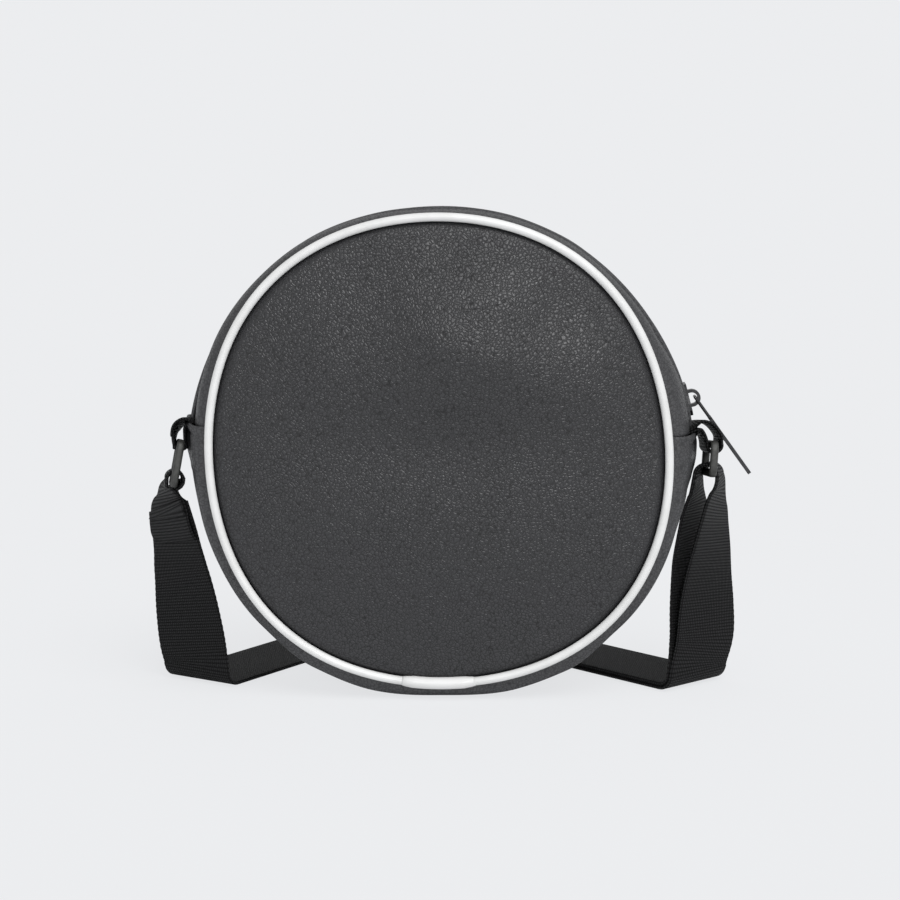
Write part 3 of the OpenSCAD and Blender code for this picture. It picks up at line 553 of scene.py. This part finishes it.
# The stitches that hold each folded edge down: short turns of thread, each sunk at its ends.
thread, th, thl, thread_skin = new_look("waxed thread")
twist = add(th, "TexNoise", Scale=2400)
thread_tone = add(th, "MapRange", To_Min=0.45, To_Max=0.7)
ply = add(th, "Bump", Strength=0.5, Distance=0.0001)
put(thread_skin, Base_Color=(0.022, 0.022, 0.024, 1))
wire(thl, (twist, "Fac", thread_tone, "Value"), (thread_tone, "Result", thread_skin, "Roughness"),
     (twist, "Fac", ply, "Height"), (ply, "Normal", thread_skin, "Normal"))

# A stitch's girth along it, and how far across the strip the row runs.
spindle = ((0, 0.25), (0.2, 0.85), (0.5, 1), (0.8, 0.85), (1, 0.25))
stitch_line = 0.165


def stitches(name, runs, thickness=0.0003):
    """Stitches as small spindles; runs holds (start, end, outwards) for each one."""
    points, faces = [], []
    for start, end, outwards in runs:
        start, end, outwards = Vector(start), Vector(end), Vector(outwards).normalized()
        along = (end - start).normalized()
        across = along.cross(outwards)
        base = len(points)
        for i, (place_along, size) in enumerate(spindle):
            middle = start.lerp(end, place_along) + outwards * thickness * (size - 0.45)
            for m in range(6):
                turn = math.pi / 3 * m
                away = across * math.cos(turn) + outwards * math.sin(turn)
                points.append(middle + away * thickness * size)
                if i:
                    p, q = base + (i - 1) * 6, base + i * 6
                    faces.append((p + m, p + (m + 1) % 6, q + (m + 1) % 6, q + m))
        faces += [tuple(base + m for m in range(6)), tuple(base + 24 + m for m in range(6))]
    piece = make_piece(name, points, faces)
    piece.data.materials.append(thread)
    return piece


for side, word in ((-1, "back"), (1, "front")):
    at, runs, turns = strip_point(side), [], 96
    for i in range(turns):
        start, end = (at((i + f) / turns, stitch_line, 0) for f in (0.16, 0.84))
        runs.append((start, end, (start[0], 0, start[2] - middle_z)))
    row = stitches(word + "_strip_stitches", runs)
    if side < 0:
        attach(row, "bag")
    else:
        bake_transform(row)


# Zip tapes. Two woven tapes under the strips, each edge carrying its row of teeth. The back one
# is sewn to the bag.
tape_radius = 0.1111
tape_thickness = 0.0006
tape_edge_y, tape_seam_y = 0.0039, 0.0138
cloth = bpy.data.node_groups.new("fine cloth", "ShaderNodeTree")
cloth.interface.new_socket("Threads", in_out="INPUT", socket_type="NodeSocketFloat")
cloth.interface.new_socket("Height", in_out="OUTPUT", socket_type="NodeSocketFloat")
c, cl = cloth.nodes, cloth.links
c_in, c_out = c.new("NodeGroupInput"), c.new("NodeGroupOutput")
c_where = add(c, "TexCoord")
c_parts = add(c, "SeparateXYZ")
c_ways = []
wire(cl, (c_where, "Object", c_parts, 0))
for axis in ("X", "Y", "Z"):
    scaled = add(c, "Math", "MULTIPLY")
    wave_of = add(c, "Math", "SINE")
    wire(cl, (c_parts, axis, scaled, 0), (c_in, "Threads", scaled, 1), (scaled, 0, wave_of, 0))
    c_ways.append(wave_of)
c_lie = add(c, "Math", "ADD")
c_cross = add(c, "Math", "MULTIPLY")
wire(cl, (c_ways[0], 0, c_lie, 0), (c_ways[2], 0, c_lie, 1), (c_lie, 0, c_cross, 0),
     (c_ways[1], 0, c_cross, 1), (c_cross, 0, c_out, "Height"))


def woven(name, threads, dark, light, roughness, depth):
    """A plain cloth, its colour painted darker in the hollows of its weave and lighter on its crowns as
    shade and highlight; threads sets how finely it is woven.
    """
    look, n, l, skin = new_look(name)
    weave = add(n, "Group")
    weave.node_tree = cloth
    put(weave, Threads=threads)
    # Painted shade and highlight: the dark tone goes into the weave's hollows and the light tone onto
    # its crowns.
    tone = ramp(n, dark, light)
    raised = add(n, "Bump", Strength=0.6, Distance=depth)
    put(skin, Roughness=roughness)
    wire(l, (weave, "Height", tone, "Fac"), (tone, "Color", skin, "Base Color"),
         (weave, "Height", raised, "Height"), (raised, "Normal", skin, "Normal"))
    return look


# Its two tones are the weave's painted shade and painted highlight.
tape_cloth = woven("zip tape cloth", 9000, (0.008, 0.008, 0.009), (0.020, 0.020, 0.022), 0.8, 0.0001)


def tape_point(side):
    """Points of one tape, at t round the top and u from its edge by the teeth to its seam."""
    def at(t, u, depth):
        y = tape_edge_y + (tape_seam_y - tape_edge_y) * u
        end = math.asin((strip_ends[0] + tape_thickness + zip_drop) / zip_radius)
        b = end + t * (math.pi - 2 * end)
        r = tape_radius - depth
        return (r * math.cos(b), side * y, middle_z - zip_drop + r * math.sin(b))
    return at


back_tape = band("back_zip_tape", tape_cloth, tape_point(-1), 160, 6, tape_thickness)
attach(back_tape, "bag")
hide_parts("zip_tape_back")

front_tape = band("front_zip_tape", tape_cloth, tape_point(1), 160, 6, tape_thickness)
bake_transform(front_tape)
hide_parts("zip_tape_front", "mouth_tape")


# Zip teeth. Moulded plastic teeth clenched on the tape, each with a neck and a head that locks
# between two of the other row. The two rows meet all round until the slider parts them.
chain_radius = 0.1108035
tooth_pitch = 0.003
slider_rise = 0.01263
slider_angle = math.asin((strip_ends[0] + zip_drop) / zip_radius) + slider_rise / chain_radius
moulded, mo, mol, mo_skin = new_look("moulded teeth")
mo_mottle = add(mo, "TexNoise", Scale=700)
mo_tone = ramp(mo, (0.008, 0.008, 0.009), (0.020, 0.020, 0.022))
mo_gloss = add(mo, "MapRange", To_Min=0.24, To_Max=0.44)
wire(mol, (mo_mottle, "Fac", mo_tone, "Fac"), (mo_mottle, "Fac", mo_gloss, "Value"),
     (mo_tone, "Color", mo_skin, "Base Color"), (mo_gloss, "Result", mo_skin, "Roughness"))

# One tooth's outline, as shares of its reach across the chain and of the pitch along it.
tooth_half_height = 0.0014
tooth_outline = [
    (1, -0.37), (1, 0.37), (0.62, 0.37), (0.5, 0.15), (0, 0.15), (-0.144, 0.31), (-0.32, 0.186),
    (-0.32, -0.186), (-0.144, -0.31), (0, -0.15), (0.5, -0.15), (0.62, -0.37),
]
corners = len(tooth_outline)
tooth = make_piece(
    "one tooth",
    [(h, y * tape_edge_y, z * tooth_pitch)
     for h in (-tooth_half_height, tooth_half_height) for y, z in tooth_outline],
    [tuple(range(corners)), tuple(range(corners, 2 * corners)),
     *[(k, (k + 1) % corners, corners + (k + 1) % corners, corners + k) for k in range(corners)]],
    smooth=False)
soften = tooth.modifiers.new("moulded edges", "BEVEL")
soften.width = 0.00016
soften.segments = 2
soften.limit_method = "ANGLE"
bpy.ops.object.modifier_apply(modifier="moulded edges")
tooth_points = [v.co.copy() for v in tooth.data.vertices]
tooth_faces = [tuple(p.vertices) for p in tooth.data.polygons]
bpy.data.objects.remove(tooth)


def on_chain(angle, out, y, along):
    """A point near the chain, from its distance outwards, its depth and its way along the arc."""
    r = chain_radius + out
    return (r * math.cos(angle) - along * math.sin(angle), y,
            middle_z - zip_drop + r * math.sin(angle) + along * math.cos(angle))


def teeth_row(name, side, shift):
    """One row of teeth, moved along the chain by a share of the pitch."""
    pitch_angle = tooth_pitch / chain_radius
    points, faces = [], []
    for i in range(int((math.pi - 2 * slider_angle) / pitch_angle) + 1):
        a, base = slider_angle + (i + shift) * pitch_angle, len(points)
        points += [on_chain(a, p.x, side * p.y, p.z) for p in tooth_points]
        faces += [tuple(base + k for k in f) for f in tooth_faces]
    piece = make_piece(name, points, faces, smooth=False)
    bpy.ops.object.shade_smooth_by_angle(angle=math.radians(40))
    piece.data.materials.append(moulded)
    return piece


back_teeth = teeth_row("back_zip_teeth", -1, 0)
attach(back_teeth, "bag")
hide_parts("zip_teeth_back")
front_teeth = teeth_row("front_zip_teeth", 1, 0.5)
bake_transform(front_teeth)
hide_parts("zip_teeth_front", "mouth_teeth")


# Small metal parts. The slider, its bail, the pull and the stops are cast and lacquered black; the
# adjuster is bent from wire. They keep their drawn shapes, with their edges broken.
def metal(name, base, roughness, metallic, grain_scale, depth, coat=0.0):
    """A cast metal surface, faintly pitted, a little rougher in places."""
    look, n, l, skin = new_look(name)
    put(skin, Metallic=metallic, Coat_Weight=coat)
    spots = add(n, "TexNoise", Scale=grain_scale, Detail=5)
    spot_place = add(n, "TexCoord")
    tone = ramp(n, [v * 0.75 for v in base], [v * 1.2 for v in base], 0.35, 0.68)
    gloss = add(n, "MapRange", To_Min=roughness - 0.08, To_Max=roughness + 0.12)
    pits = add(n, "Bump", Strength=0.4, Distance=depth)
    wire(l, (spot_place, "Object", spots, "Vector"), (spots, "Fac", tone, "Fac"),
         (spots, "Fac", gloss, "Value"), (spots, "Fac", pits, "Height"),
         (tone, "Color", skin, "Base Color"), (gloss, "Result", skin, "Roughness"),
         (pits, "Normal", skin, "Normal"))
    return look


lacquered = metal("black lacquered metal", (0.024, 0.024, 0.026), 0.3, 0.35, 420, 0.00006, coat=0.3)
gunmetal = metal("gunmetal", (0.052, 0.052, 0.049), 0.46, 0.35, 520, 0.00008)
for node, width in (("zip_slider", 0.0003), ("zip_bail", 0.0003), ("zip_pull", 0.00025),
                    ("zip_stops", 0.0002), ("strap_adjuster", 0)):
    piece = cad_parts[node]
    piece.data.materials.clear()
    piece.data.materials.append(gunmetal if node == "strap_adjuster" else lacquered)
    if width:
        edge = piece.modifiers.new("broken edges", "BEVEL")
        edge.width = width
        edge.segments = 2
        edge.limit_method = "ANGLE"
        edge.angle_limit = math.radians(40)
        edge.harden_normals = True


# Webbing. All of it is one plain weave: ribs across, parted by the warp, so that it reads as rows
# of small dots. Its pattern follows the strap, which carries its own length and width as a map.
weave = bpy.data.node_groups.new("webbing weave", "ShaderNodeTree")
weave.interface.new_socket("Height", in_out="OUTPUT", socket_type="NodeSocketFloat")
weave.interface.new_socket("Shine", in_out="OUTPUT", socket_type="NodeSocketFloat")
v, vl = weave.nodes, weave.links
v_out = v.new("NodeGroupOutput")
v_map = add(v, "UVMap")
v_noise_place = add(v, "TexCoord")
v_noise = add(v, "TexNoise", Scale=900)
v_parts = add(v, "SeparateXYZ")
v_ribs = []
wire(vl, (v_map, "UV", v_parts, 0))
for axis, pitch in (("X", 0.00133), ("Y", 0.00116)):
    scaled = add(v, "Math", "MULTIPLY")
    scaled.inputs[1].default_value = math.pi / pitch
    turned = add(v, "Math", "SINE")
    up = add(v, "Math", "ABSOLUTE")
    wire(vl, (v_parts, axis, scaled, 0), (scaled, 0, turned, 0), (turned, 0, up, 0))
    v_ribs.append(up)
v_dot = add(v, "Math", "MULTIPLY")
v_fuzz = add(v, "Math", "MULTIPLY_ADD")
v_fuzz.inputs[1].default_value = 0.28
wire(vl, (v_ribs[0], 0, v_dot, 0), (v_ribs[1], 0, v_dot, 1),
     (v_noise_place, "Object", v_noise, "Vector"), (v_noise, "Fac", v_fuzz, 0),
     (v_dot, 0, v_fuzz, 2), (v_fuzz, 0, v_out, "Height"), (v_dot, 0, v_out, "Shine"))

webbing, wb, wbl, wb_skin = new_look("black webbing")
wb_weave = add(wb, "Group")
wb_weave.node_tree = weave
# Painted shade and highlight: the black webbing is coloured darker between its yarns and lighter on
# their crowns.
wb_weave_shade_and_highlight = ramp(wb, (0.0012, 0.0012, 0.0013), (0.013, 0.013, 0.0138), 0.25, 0.95)
wb_gloss = add(wb, "MapRange", To_Min=0.85, To_Max=0.38)
put(wb_skin, Specular_IOR_Level=0.16)
wb_raise = add(wb, "Bump", Strength=0.9, Distance=0.0004)
wire(wbl, (wb_weave, "Height", wb_weave_shade_and_highlight, "Fac"), (wb_weave, "Shine", wb_gloss, "Value"),
     (wb_weave, "Height", wb_raise, "Height"), (wb_weave_shade_and_highlight, "Color", wb_skin, "Base Color"),
     (wb_gloss, "Result", wb_skin, "Roughness"), (wb_raise, "Normal", wb_skin, "Normal"))


def smooth_way(rows, step):
    """Even rows along a smooth way through the given ones, and how far along each one lies."""
    rows = np.array(rows, float)
    gaps = np.linalg.norm(np.diff(rows[:, :3], axis=0), axis=1)
    at = np.concatenate([[0], np.cumsum(gaps)])
    slope = np.gradient(rows, at, axis=0)
    fine = np.linspace(0, at[-1], int(at[-1] / step * 8))
    k = np.clip(np.searchsorted(at, fine, side="right") - 1, 0, len(rows) - 2)
    h = (at[k + 1] - at[k])[:, None]
    t = (fine - at[k])[:, None] / h
    way = ((2 * t**3 - 3 * t**2 + 1) * rows[k] + (t**3 - 2 * t**2 + t) * h * slope[k]
           + (3 * t**2 - 2 * t**3) * rows[k + 1] + (t**3 - t**2) * h * slope[k + 1])
    along = np.concatenate([[0], np.cumsum(np.linalg.norm(np.diff(way[:, :3], axis=0), axis=1))])
    even = np.linspace(0, along[-1], int(along[-1] / step) + 1)
    return np.column_stack([np.interp(even, along, way[:, c]) for c in range(way.shape[1])]), even


strap_width = 38.0
strap_thickness = 1.6
edge_loop = 2.7


def ribbon(name, stations, width=strap_width, thickness=strap_thickness, step=0.6, columns=16,
           scallop=0.22):
    """A strap through stations (x, y, z, way across) in millimetres. The way across is a yaw in
    degrees, or the half-width vector itself where the strap is cut or folded aslant."""
    rows = []
    for x, y, z, across in stations:
        aslant = hasattr(across, "__len__")
        half = np.array(across) if aslant else width / 2 * np.array(
            [math.cos(math.radians(across)), math.sin(math.radians(across)), 0])
        rows.append([x, y, z, *half, float(aslant)])
    way, along = smooth_way(rows, step)
    centre, half, aslant = way[:, :3], way[:, 3:6], np.clip(way[:, 6:7], 0, 1)
    run = np.gradient(centre, axis=0)
    run /= np.linalg.norm(run, axis=1)[:, None]
    square = half - np.sum(half * run, axis=1)[:, None] * run
    square *= width / 2 / np.linalg.norm(square, axis=1)[:, None]
    half = square * (1 - aslant) + half * aslant
    face = np.cross(half, run)
    face /= np.linalg.norm(face, axis=1)[:, None]
    flat = np.linspace(-1, 1, columns) * (1 - 0.8 / width * 2)
    t, shoulder = thickness / 2, 1 - 0.7 / width
    edge = [(shoulder, t * 0.72), (1, t * 0.2), (1, -t * 0.2), (shoulder, -t * 0.72)]
    section = [(u, t) for u in flat] + edge
    section += [(u, -t) for u in flat[::-1]] + [(-u, h) for u, h in edge[::-1]]
    pull = 1 - 2 * scallop / width * (0.5 - 0.5 * np.cos(2 * math.pi * along / edge_loop))
    points, chart = [], []
    slant = np.sum(half * run, axis=1)
    for i in range(len(along)):
        for u, h in section:
            s = u * (pull[i] if abs(u) > flat[-1] else 1)
            x, y, z = (centre[i] + half[i] * s + face[i] * h) * 0.001
            points.append((x, y, max(z, 0)))
            chart.append(((along[i] + slant[i] * u) * 0.001, u * width / 2 * 0.001))
    n, faces = len(section), []
    for i in range(len(along) - 1):
        for m in range(n):
            p, q = i * n + m, i * n + (m + 1) % n
            faces.append((p, q, q + n, p + n))
    faces += [tuple(range(n)), tuple((len(along) - 1) * n + m for m in range(n))]
    piece = make_piece(name, points, faces, merge=False)
    corners = np.empty(len(piece.data.loops), int)
    piece.data.loops.foreach_get("vertex_index", corners)
    chart_of = piece.data.uv_layers.new(name="strap")
    chart_of.data.foreach_set("uv", np.array(chart)[corners].ravel())
    piece.data.materials.append(webbing)
    return piece


def turn_about(x, z, r, first, last, across=90.0, steps=9):
    """Stations on an upright arc square to the strap's way across, angles in degrees from +X."""
    lean = math.radians(across % 180)
    out = []
    for a in np.radians(np.linspace(first, last, steps)):
        d = r * math.cos(a)
        out.append((x + d * math.sin(lean), -d * math.cos(lean), z + r * math.sin(a), across))
    return out


def askew(piece, share):
    """Lowers the far side of a hanging piece, which the strap pulls at from behind the bag."""
    slope = 0.13
    for v in piece.data.vertices:
        v.co.z -= slope * v.co.y * ease(share(v.co))
    piece.data.update()


# Tabs. Each is a short length of the webbing, doubled round its ring and caught in the side seam.
# The rings' upper and lower bars are given by x and z, in millimetres.
left_bar, left_low = (-116.8, 108.6), (-120.2, 90.6)
right_bar, right_low = (120.4, 109.0), (119.7, 96.2)
tab_thickness = 1.3
left_tab = ribbon("left_tab_webbing", [
    (-104.0, 0, 119.6, -90), (-108.5, 0, 119.9, -90), (-112.8, 0, 119.7, -90), (-116.6, 0, 117.6, -89),
    (-119.0, 0, 113.8, -86), (-119.6, 0, 110.6, -83),
    *turn_about(*left_bar, 2.8, 185, 350, across=-82, steps=6),
    (-113.9, 0, 111.6, -84), (-112.9, 0, 114.8, -88), (-111.4, 0, 117.2, -90), (-108.6, 0, 118.1, -90),
    (-104.0, 0, 118.1, -90),
], thickness=tab_thickness, step=0.45)
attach(left_tab, "bag")
askew(left_tab, lambda p: (-0.1065 - p.x) / 0.007)
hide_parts("tab_left")
right_tab = ribbon("right_tab_webbing", [
    (107.0, 0, 117.4, 90), (112.2, 0, 118.0, 90), (115.4, 0, 119.3, 90), (118.6, 0, 118.5, 90),
    (121.6, 0, 115.9, 90), (123.6, 0, 112.4, 90),
    *turn_about(right_bar[0] + 0.1, right_bar[1] - 0.2, 3.3, 20, -190, across=90, steps=9),
    (116.2, 0, 113.2, 90), (114.6, 0, 115.6, 90), (111.4, 0, 116.4, 90), (107.0, 0, 116.1, 90),
], thickness=tab_thickness, step=0.45)
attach(right_tab, "bag")
askew(right_tab, lambda p: (p.x - 0.1085) / 0.007)
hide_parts("tab_right")


# Rings. Rectangular frames cast in one, of nearly square section with rounded edges. Each swings
# on the tab and carries the strap on its lower bar.
def cast_ring(name, top, low, yaw=0.0, section=3.4, half_y=21.35, corner=4.6):
    """A frame between its upper and lower bars, given by their middles in the XZ plane."""
    middle = ((top[0] + low[0]) / 2, (top[1] + low[1]) / 2)
    tall = math.hypot(top[0] - low[0], top[1] - low[1])
    lean = math.atan2(top[0] - low[0], top[1] - low[1])
    bpy.ops.mesh.primitive_plane_add(size=1)
    piece = bpy.context.object
    piece.name = name
    piece.scale = (0.001 * (2 * half_y + section), 0.001 * (tall + section), 1)
    bpy.ops.object.transform_apply(location=False, rotation=False, scale=True)
    bpy.ops.object.mode_set(mode="EDIT")
    bpy.ops.mesh.select_all(action="SELECT")
    bpy.ops.mesh.bevel(offset=0.001 * corner, segments=6, affect="VERTICES")
    bpy.ops.mesh.select_all(action="SELECT")
    bpy.ops.mesh.inset(thickness=0.001 * section)
    bpy.ops.mesh.delete(type="FACE")
    bpy.ops.mesh.select_all(action="SELECT")
    bpy.ops.mesh.extrude_region_move(TRANSFORM_OT_translate={"value": (0, 0, 0.001 * section)})
    bpy.ops.mesh.select_all(action="SELECT")
    bpy.ops.mesh.normals_make_consistent(inside=False)
    bpy.ops.object.mode_set(mode="OBJECT")
    rounder = piece.modifiers.new("rounded section", "BEVEL")
    rounder.width = 0.0011
    rounder.segments = 4
    rounder.limit_method = "ANGLE"
    rounder.angle_limit = math.radians(50)
    bpy.ops.object.modifier_apply(modifier="rounded section")
    bpy.ops.object.shade_smooth_by_angle(angle=math.radians(50))
    piece.location = (0, 0, -0.0005 * section)
    bpy.ops.object.transform_apply(location=True, rotation=False, scale=False)
    piece.rotation_euler = (math.pi / 2, 0, math.pi / 2)
    bpy.ops.object.transform_apply(location=False, rotation=True, scale=False)
    piece.rotation_euler = (0, lean, math.radians(yaw))
    piece.location = (0.001 * middle[0], 0, 0.001 * middle[1])
    bpy.ops.object.transform_apply(location=True, rotation=True, scale=False)
    piece.data.materials.append(gunmetal)
    return piece


left_ring = cast_ring("left_ring_cast", left_bar, left_low, yaw=9)
askew(left_ring, lambda p: 1.0)
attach(left_ring, "left_ring")
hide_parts("ring_left")
right_ring = cast_ring("right_ring_cast", right_bar, right_low)
askew(right_ring, lambda p: 1.0)
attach(right_ring, "right_ring")
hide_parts("ring_right")


# Shoulder strap, left end. The webbing's end is folded round the ring's lower bar, hemmed and sewn
# down; from there it hangs, turning, to the ground, and runs away behind the bag to a crease.
layer = 1.7
on_floor = strap_thickness / 2
left_foot, right_foot = np.array([-110.4, -5.0]), np.array([115.92, -5.0])
left_yaw, right_yaw, bend_radius = -32, 44, 7
foot_z = bend_radius + on_floor


def run_way(yaw):
    """The way along the ground square to a yaw, away from the bag's front."""
    return np.array([-math.sin(math.radians(yaw)), math.cos(math.radians(yaw))])


def upper_part(p):
    """How far a point of the strap belongs to its top, which hangs as the ring does."""
    return (p.z - 0.06) / 0.028


def hanging(stations, offset):
    """Stations (x, y, z, yaw, share) moved towards the bag by offset times their share."""
    out = []
    for x, y, z, yaw, share in stations:
        way = run_way(yaw) if math.cos(math.radians(yaw)) > 0 else -run_way(yaw)
        out.append((x + way[0] * offset * share, y + way[1] * offset * share, z, yaw))
    return out


def bend_on_ground(foot, yaw, lift=0.0, angles=(18, 36, 54, 72, 90)):
    """Stations of the bend from hanging to lying, lift above the lowest layer."""
    way, out = run_way(yaw), []
    for a in np.radians(angles):
        d = bend_radius - (bend_radius - lift) * math.cos(a)
        out.append((*(foot + way * d), foot_z - (bend_radius - lift) * math.sin(a), yaw))
    return out


def on_ground(foot, yaw, d, z):
    """A station on the ground, d beyond the end of the bend."""
    p = foot + run_way(yaw) * (bend_radius + d)
    return (p[0], p[1], z, yaw)


left_way, right_way = run_way(left_yaw), run_way(right_yaw)
spread = left_way[0] * right_way[1] - left_way[1] * right_way[0]
feet = right_foot - left_foot
left_reach = (feet[0] * right_way[1] - feet[1] * right_way[0]) / spread
right_reach = (feet[0] * left_way[1] - feet[1] * left_way[0]) / spread
crease = left_foot + left_way * left_reach
crease_way = (left_way - right_way) / np.linalg.norm(left_way - right_way)
crease_out = np.array([-crease_way[1], crease_way[0]])


def crease_half(yaw):
    """The half-width along the crease where the strap's two runs meet and fold over."""
    across = np.array([math.cos(math.radians(yaw)), math.sin(math.radians(yaw))])
    return (*(crease_way * strap_width / 2 / float(crease_way @ across)), 0)


left_drop = [
    (-121.5, 0, 88.6, -76, 1.5), (-122.2, -0.2, 85.4, -68, 0.9), (-122.4, -0.5, 82, -60.5, 0.53),
    (-121.6, -1, 77, -56.5, 0.4), (-119.6, -1.5, 67, -49.5, 0), (-118.2, -2, 58.6, -46, 0),
    (-117.2, -2.6, 51.8, -42.5, 0), (-116, -3.3, 45, -39, 0), (-114, -4.4, 31.6, -33, 0),
    (-112, -5, 18, -30, 0), (*left_foot, foot_z, left_yaw, 0),
]
spread_apart = 1.8
tail = hanging([
    (-118.9, -1.6, 64, -48, 0.35), (-120.0, -1.4, 68.5, -51, 0.8), (-120.7, -1.2, 72.5, -54, 0.9),
    (-121.6, -1, 77, -56.5, 0.55), *left_drop[2::-1],
], -spread_apart)
left_end, fold_radius = left_reach - bend_radius, layer / 2
left_strap = ribbon("left_strap_webbing", [
    *tail, *turn_about(-119.6, 92.3, 3.7, 190, -10, across=-81, steps=9),
    *hanging(left_drop, spread_apart), *bend_on_ground(left_foot, left_yaw),
    *[on_ground(left_foot, left_yaw, d, on_floor)
      for d in (2, 6, 20, 50, 80, left_end - 40, left_end - 25)],
    *[(*(crease + crease_out * fold_radius * math.sin(a)), on_floor + fold_radius * (1 - math.cos(a)),
       crease_half(left_yaw)) for a in np.radians([0, 30, 60, 90, 120, 150, 180])],
])
askew(left_strap, upper_part)
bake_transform(left_strap)
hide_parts("strap_tail", "strap_loop_left", "strap_left")

hem = ribbon("left_strap_hem", hanging([
    (-122.3, -0.6, 79.8, -59, 1), (-122.0, -0.8, 78, -57.5, 1), (-121.6, -1, 76.2, -56, 1),
    (-121.3, -1, 74.8, -55, 1),
], -2.15), width=38.4, thickness=0.8, step=0.5)
askew(hem, upper_part)
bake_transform(hem)


# Shoulder strap, right end. It comes round from the crease behind the bag, over the adjuster's
# middle bar and up to the ring, turns over the lower bar, hangs down on its outer side and runs
# back along the ground to be sewn round the adjuster's middle bar.
outer_drop = [
    (124.1, -0.3, 88, 77, 0), (123.4, -0.6, 82, 71.5, 0), (122.4, -1.2, 73, 66, 0),
    (121.2, -2, 61, 58.5, 0), (120.0, -3, 48.7, 52, 0), (119.4, -4, 35.6, 46, 0),
    (118.8, -4.8, 22, 43, 0), (*right_foot, foot_z, right_yaw, 0),
]
apart = [10.2, 9.9, 9.6, 8.8, 7.0, 5.4, 3.8, layer]
inner_drop = [(*s[:4], gap) for s, gap in zip(outer_drop, apart)]
on_layer = on_floor + layer
bar_d, bar_z, hump, climb = 112, 4.45, 3.7, math.radians(31.5)
hump_d, hump_z = hump * math.sin(climb), bar_z + hump * math.cos(climb)
crossing = strap_width / 2 * (1 + abs(float(left_way @ right_way))) / abs(spread) + 4
end = right_reach - bend_radius
right_ground = [
    *[(d, on_layer) for d in (2, 6, 20, 50, 80, 97, bar_d - 10.24)],
    (bar_d - hump_d, hump_z), (bar_d, bar_z + hump), (bar_d + hump_d, hump_z), (bar_d + 13, on_floor),
    (end - crossing - 16, on_floor), (end - crossing, on_layer), (end - 30, on_layer),
]
sewn_radius = 1.95
right_strap = ribbon("right_strap_webbing", [
    (*(crease - crease_out * 0.1), on_layer, crease_half(right_yaw)),
    *[on_ground(right_foot, right_yaw, d, z) for d, z in right_ground[::-1]],
    *bend_on_ground(right_foot, right_yaw, layer)[::-1],
    *hanging(inner_drop, 1)[::-1],
    *turn_about(119.6, 95.3, 4.9, 180, 0, across=81, steps=9),
    *hanging(outer_drop, 0), *bend_on_ground(right_foot, right_yaw),
    *[on_ground(right_foot, right_yaw, d, on_floor) for d in (2, 6, 20, 50, 80, 96)],
    on_ground(right_foot, right_yaw, 101.0, 0.85), on_ground(right_foot, right_yaw, 106.5, 1.5),
    *[on_ground(right_foot, right_yaw, bar_d + sewn_radius * math.sin(a),
                bar_z - sewn_radius * math.cos(a)) for a in np.radians([-10, 30, 75, 120, 165, 195])],
    on_ground(right_foot, right_yaw, 106.5, 4.6), on_ground(right_foot, right_yaw, 103.0, 2.9),
])
askew(right_strap, upper_part)
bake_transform(right_strap)
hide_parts("strap_loop_right", "strap_right", "strap_return")


# Lining. A dark woven cloth, drawn tight over the foam of both faces and round inside the gusset,
# and caught in the same seams as the leather.
# Its two tones are the weave's painted shade and painted highlight.
lining_cloth = woven("lining cloth", 7000, (0.010, 0.010, 0.012), (0.026, 0.026, 0.030), 0.85,
                     0.00012)
edge = 0.0935
cloth_gap, cloth_thickness = 0.0001, 0.0005
for side, word in ((-1, "back"), (1, "front")):
    cloth_disc = disc_layers(
        word + "_lining_cloth", side, [edge * i / 24 for i in range(25)],
        lambda r, x, z: dome_y(r) - panel_thickness - cloth_gap,
        lambda r, x, z: dome_y(r) - panel_thickness - cloth_gap - cloth_thickness, rounds=96)
    cloth_disc.data.materials.append(lining_cloth)
    if side < 0:
        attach(cloth_disc, "bag")
        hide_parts("back_lining")
    else:
        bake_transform(cloth_disc)
        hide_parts("front_lining", "mouth_lining")


lining_depth, lining_floor, lining_ends_z = 0.0046, 0.0044, (0.0042, 0.0042)


def lining_point(t, u, depth):
    """A point of the gusset's lining, inside the stiffener and a little narrower than the band."""
    x, y, z = gusset_point(t, u * 0.97, lining_depth + depth, lining_ends_z)
    return (x, y, max(z, lining_floor + depth))


inner_band = band("gusset_lining_cloth", lining_cloth, lining_point, 160, 24, cloth_thickness,
                  rounded_across)
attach(inner_band, "bag")
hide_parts("gusset_lining")
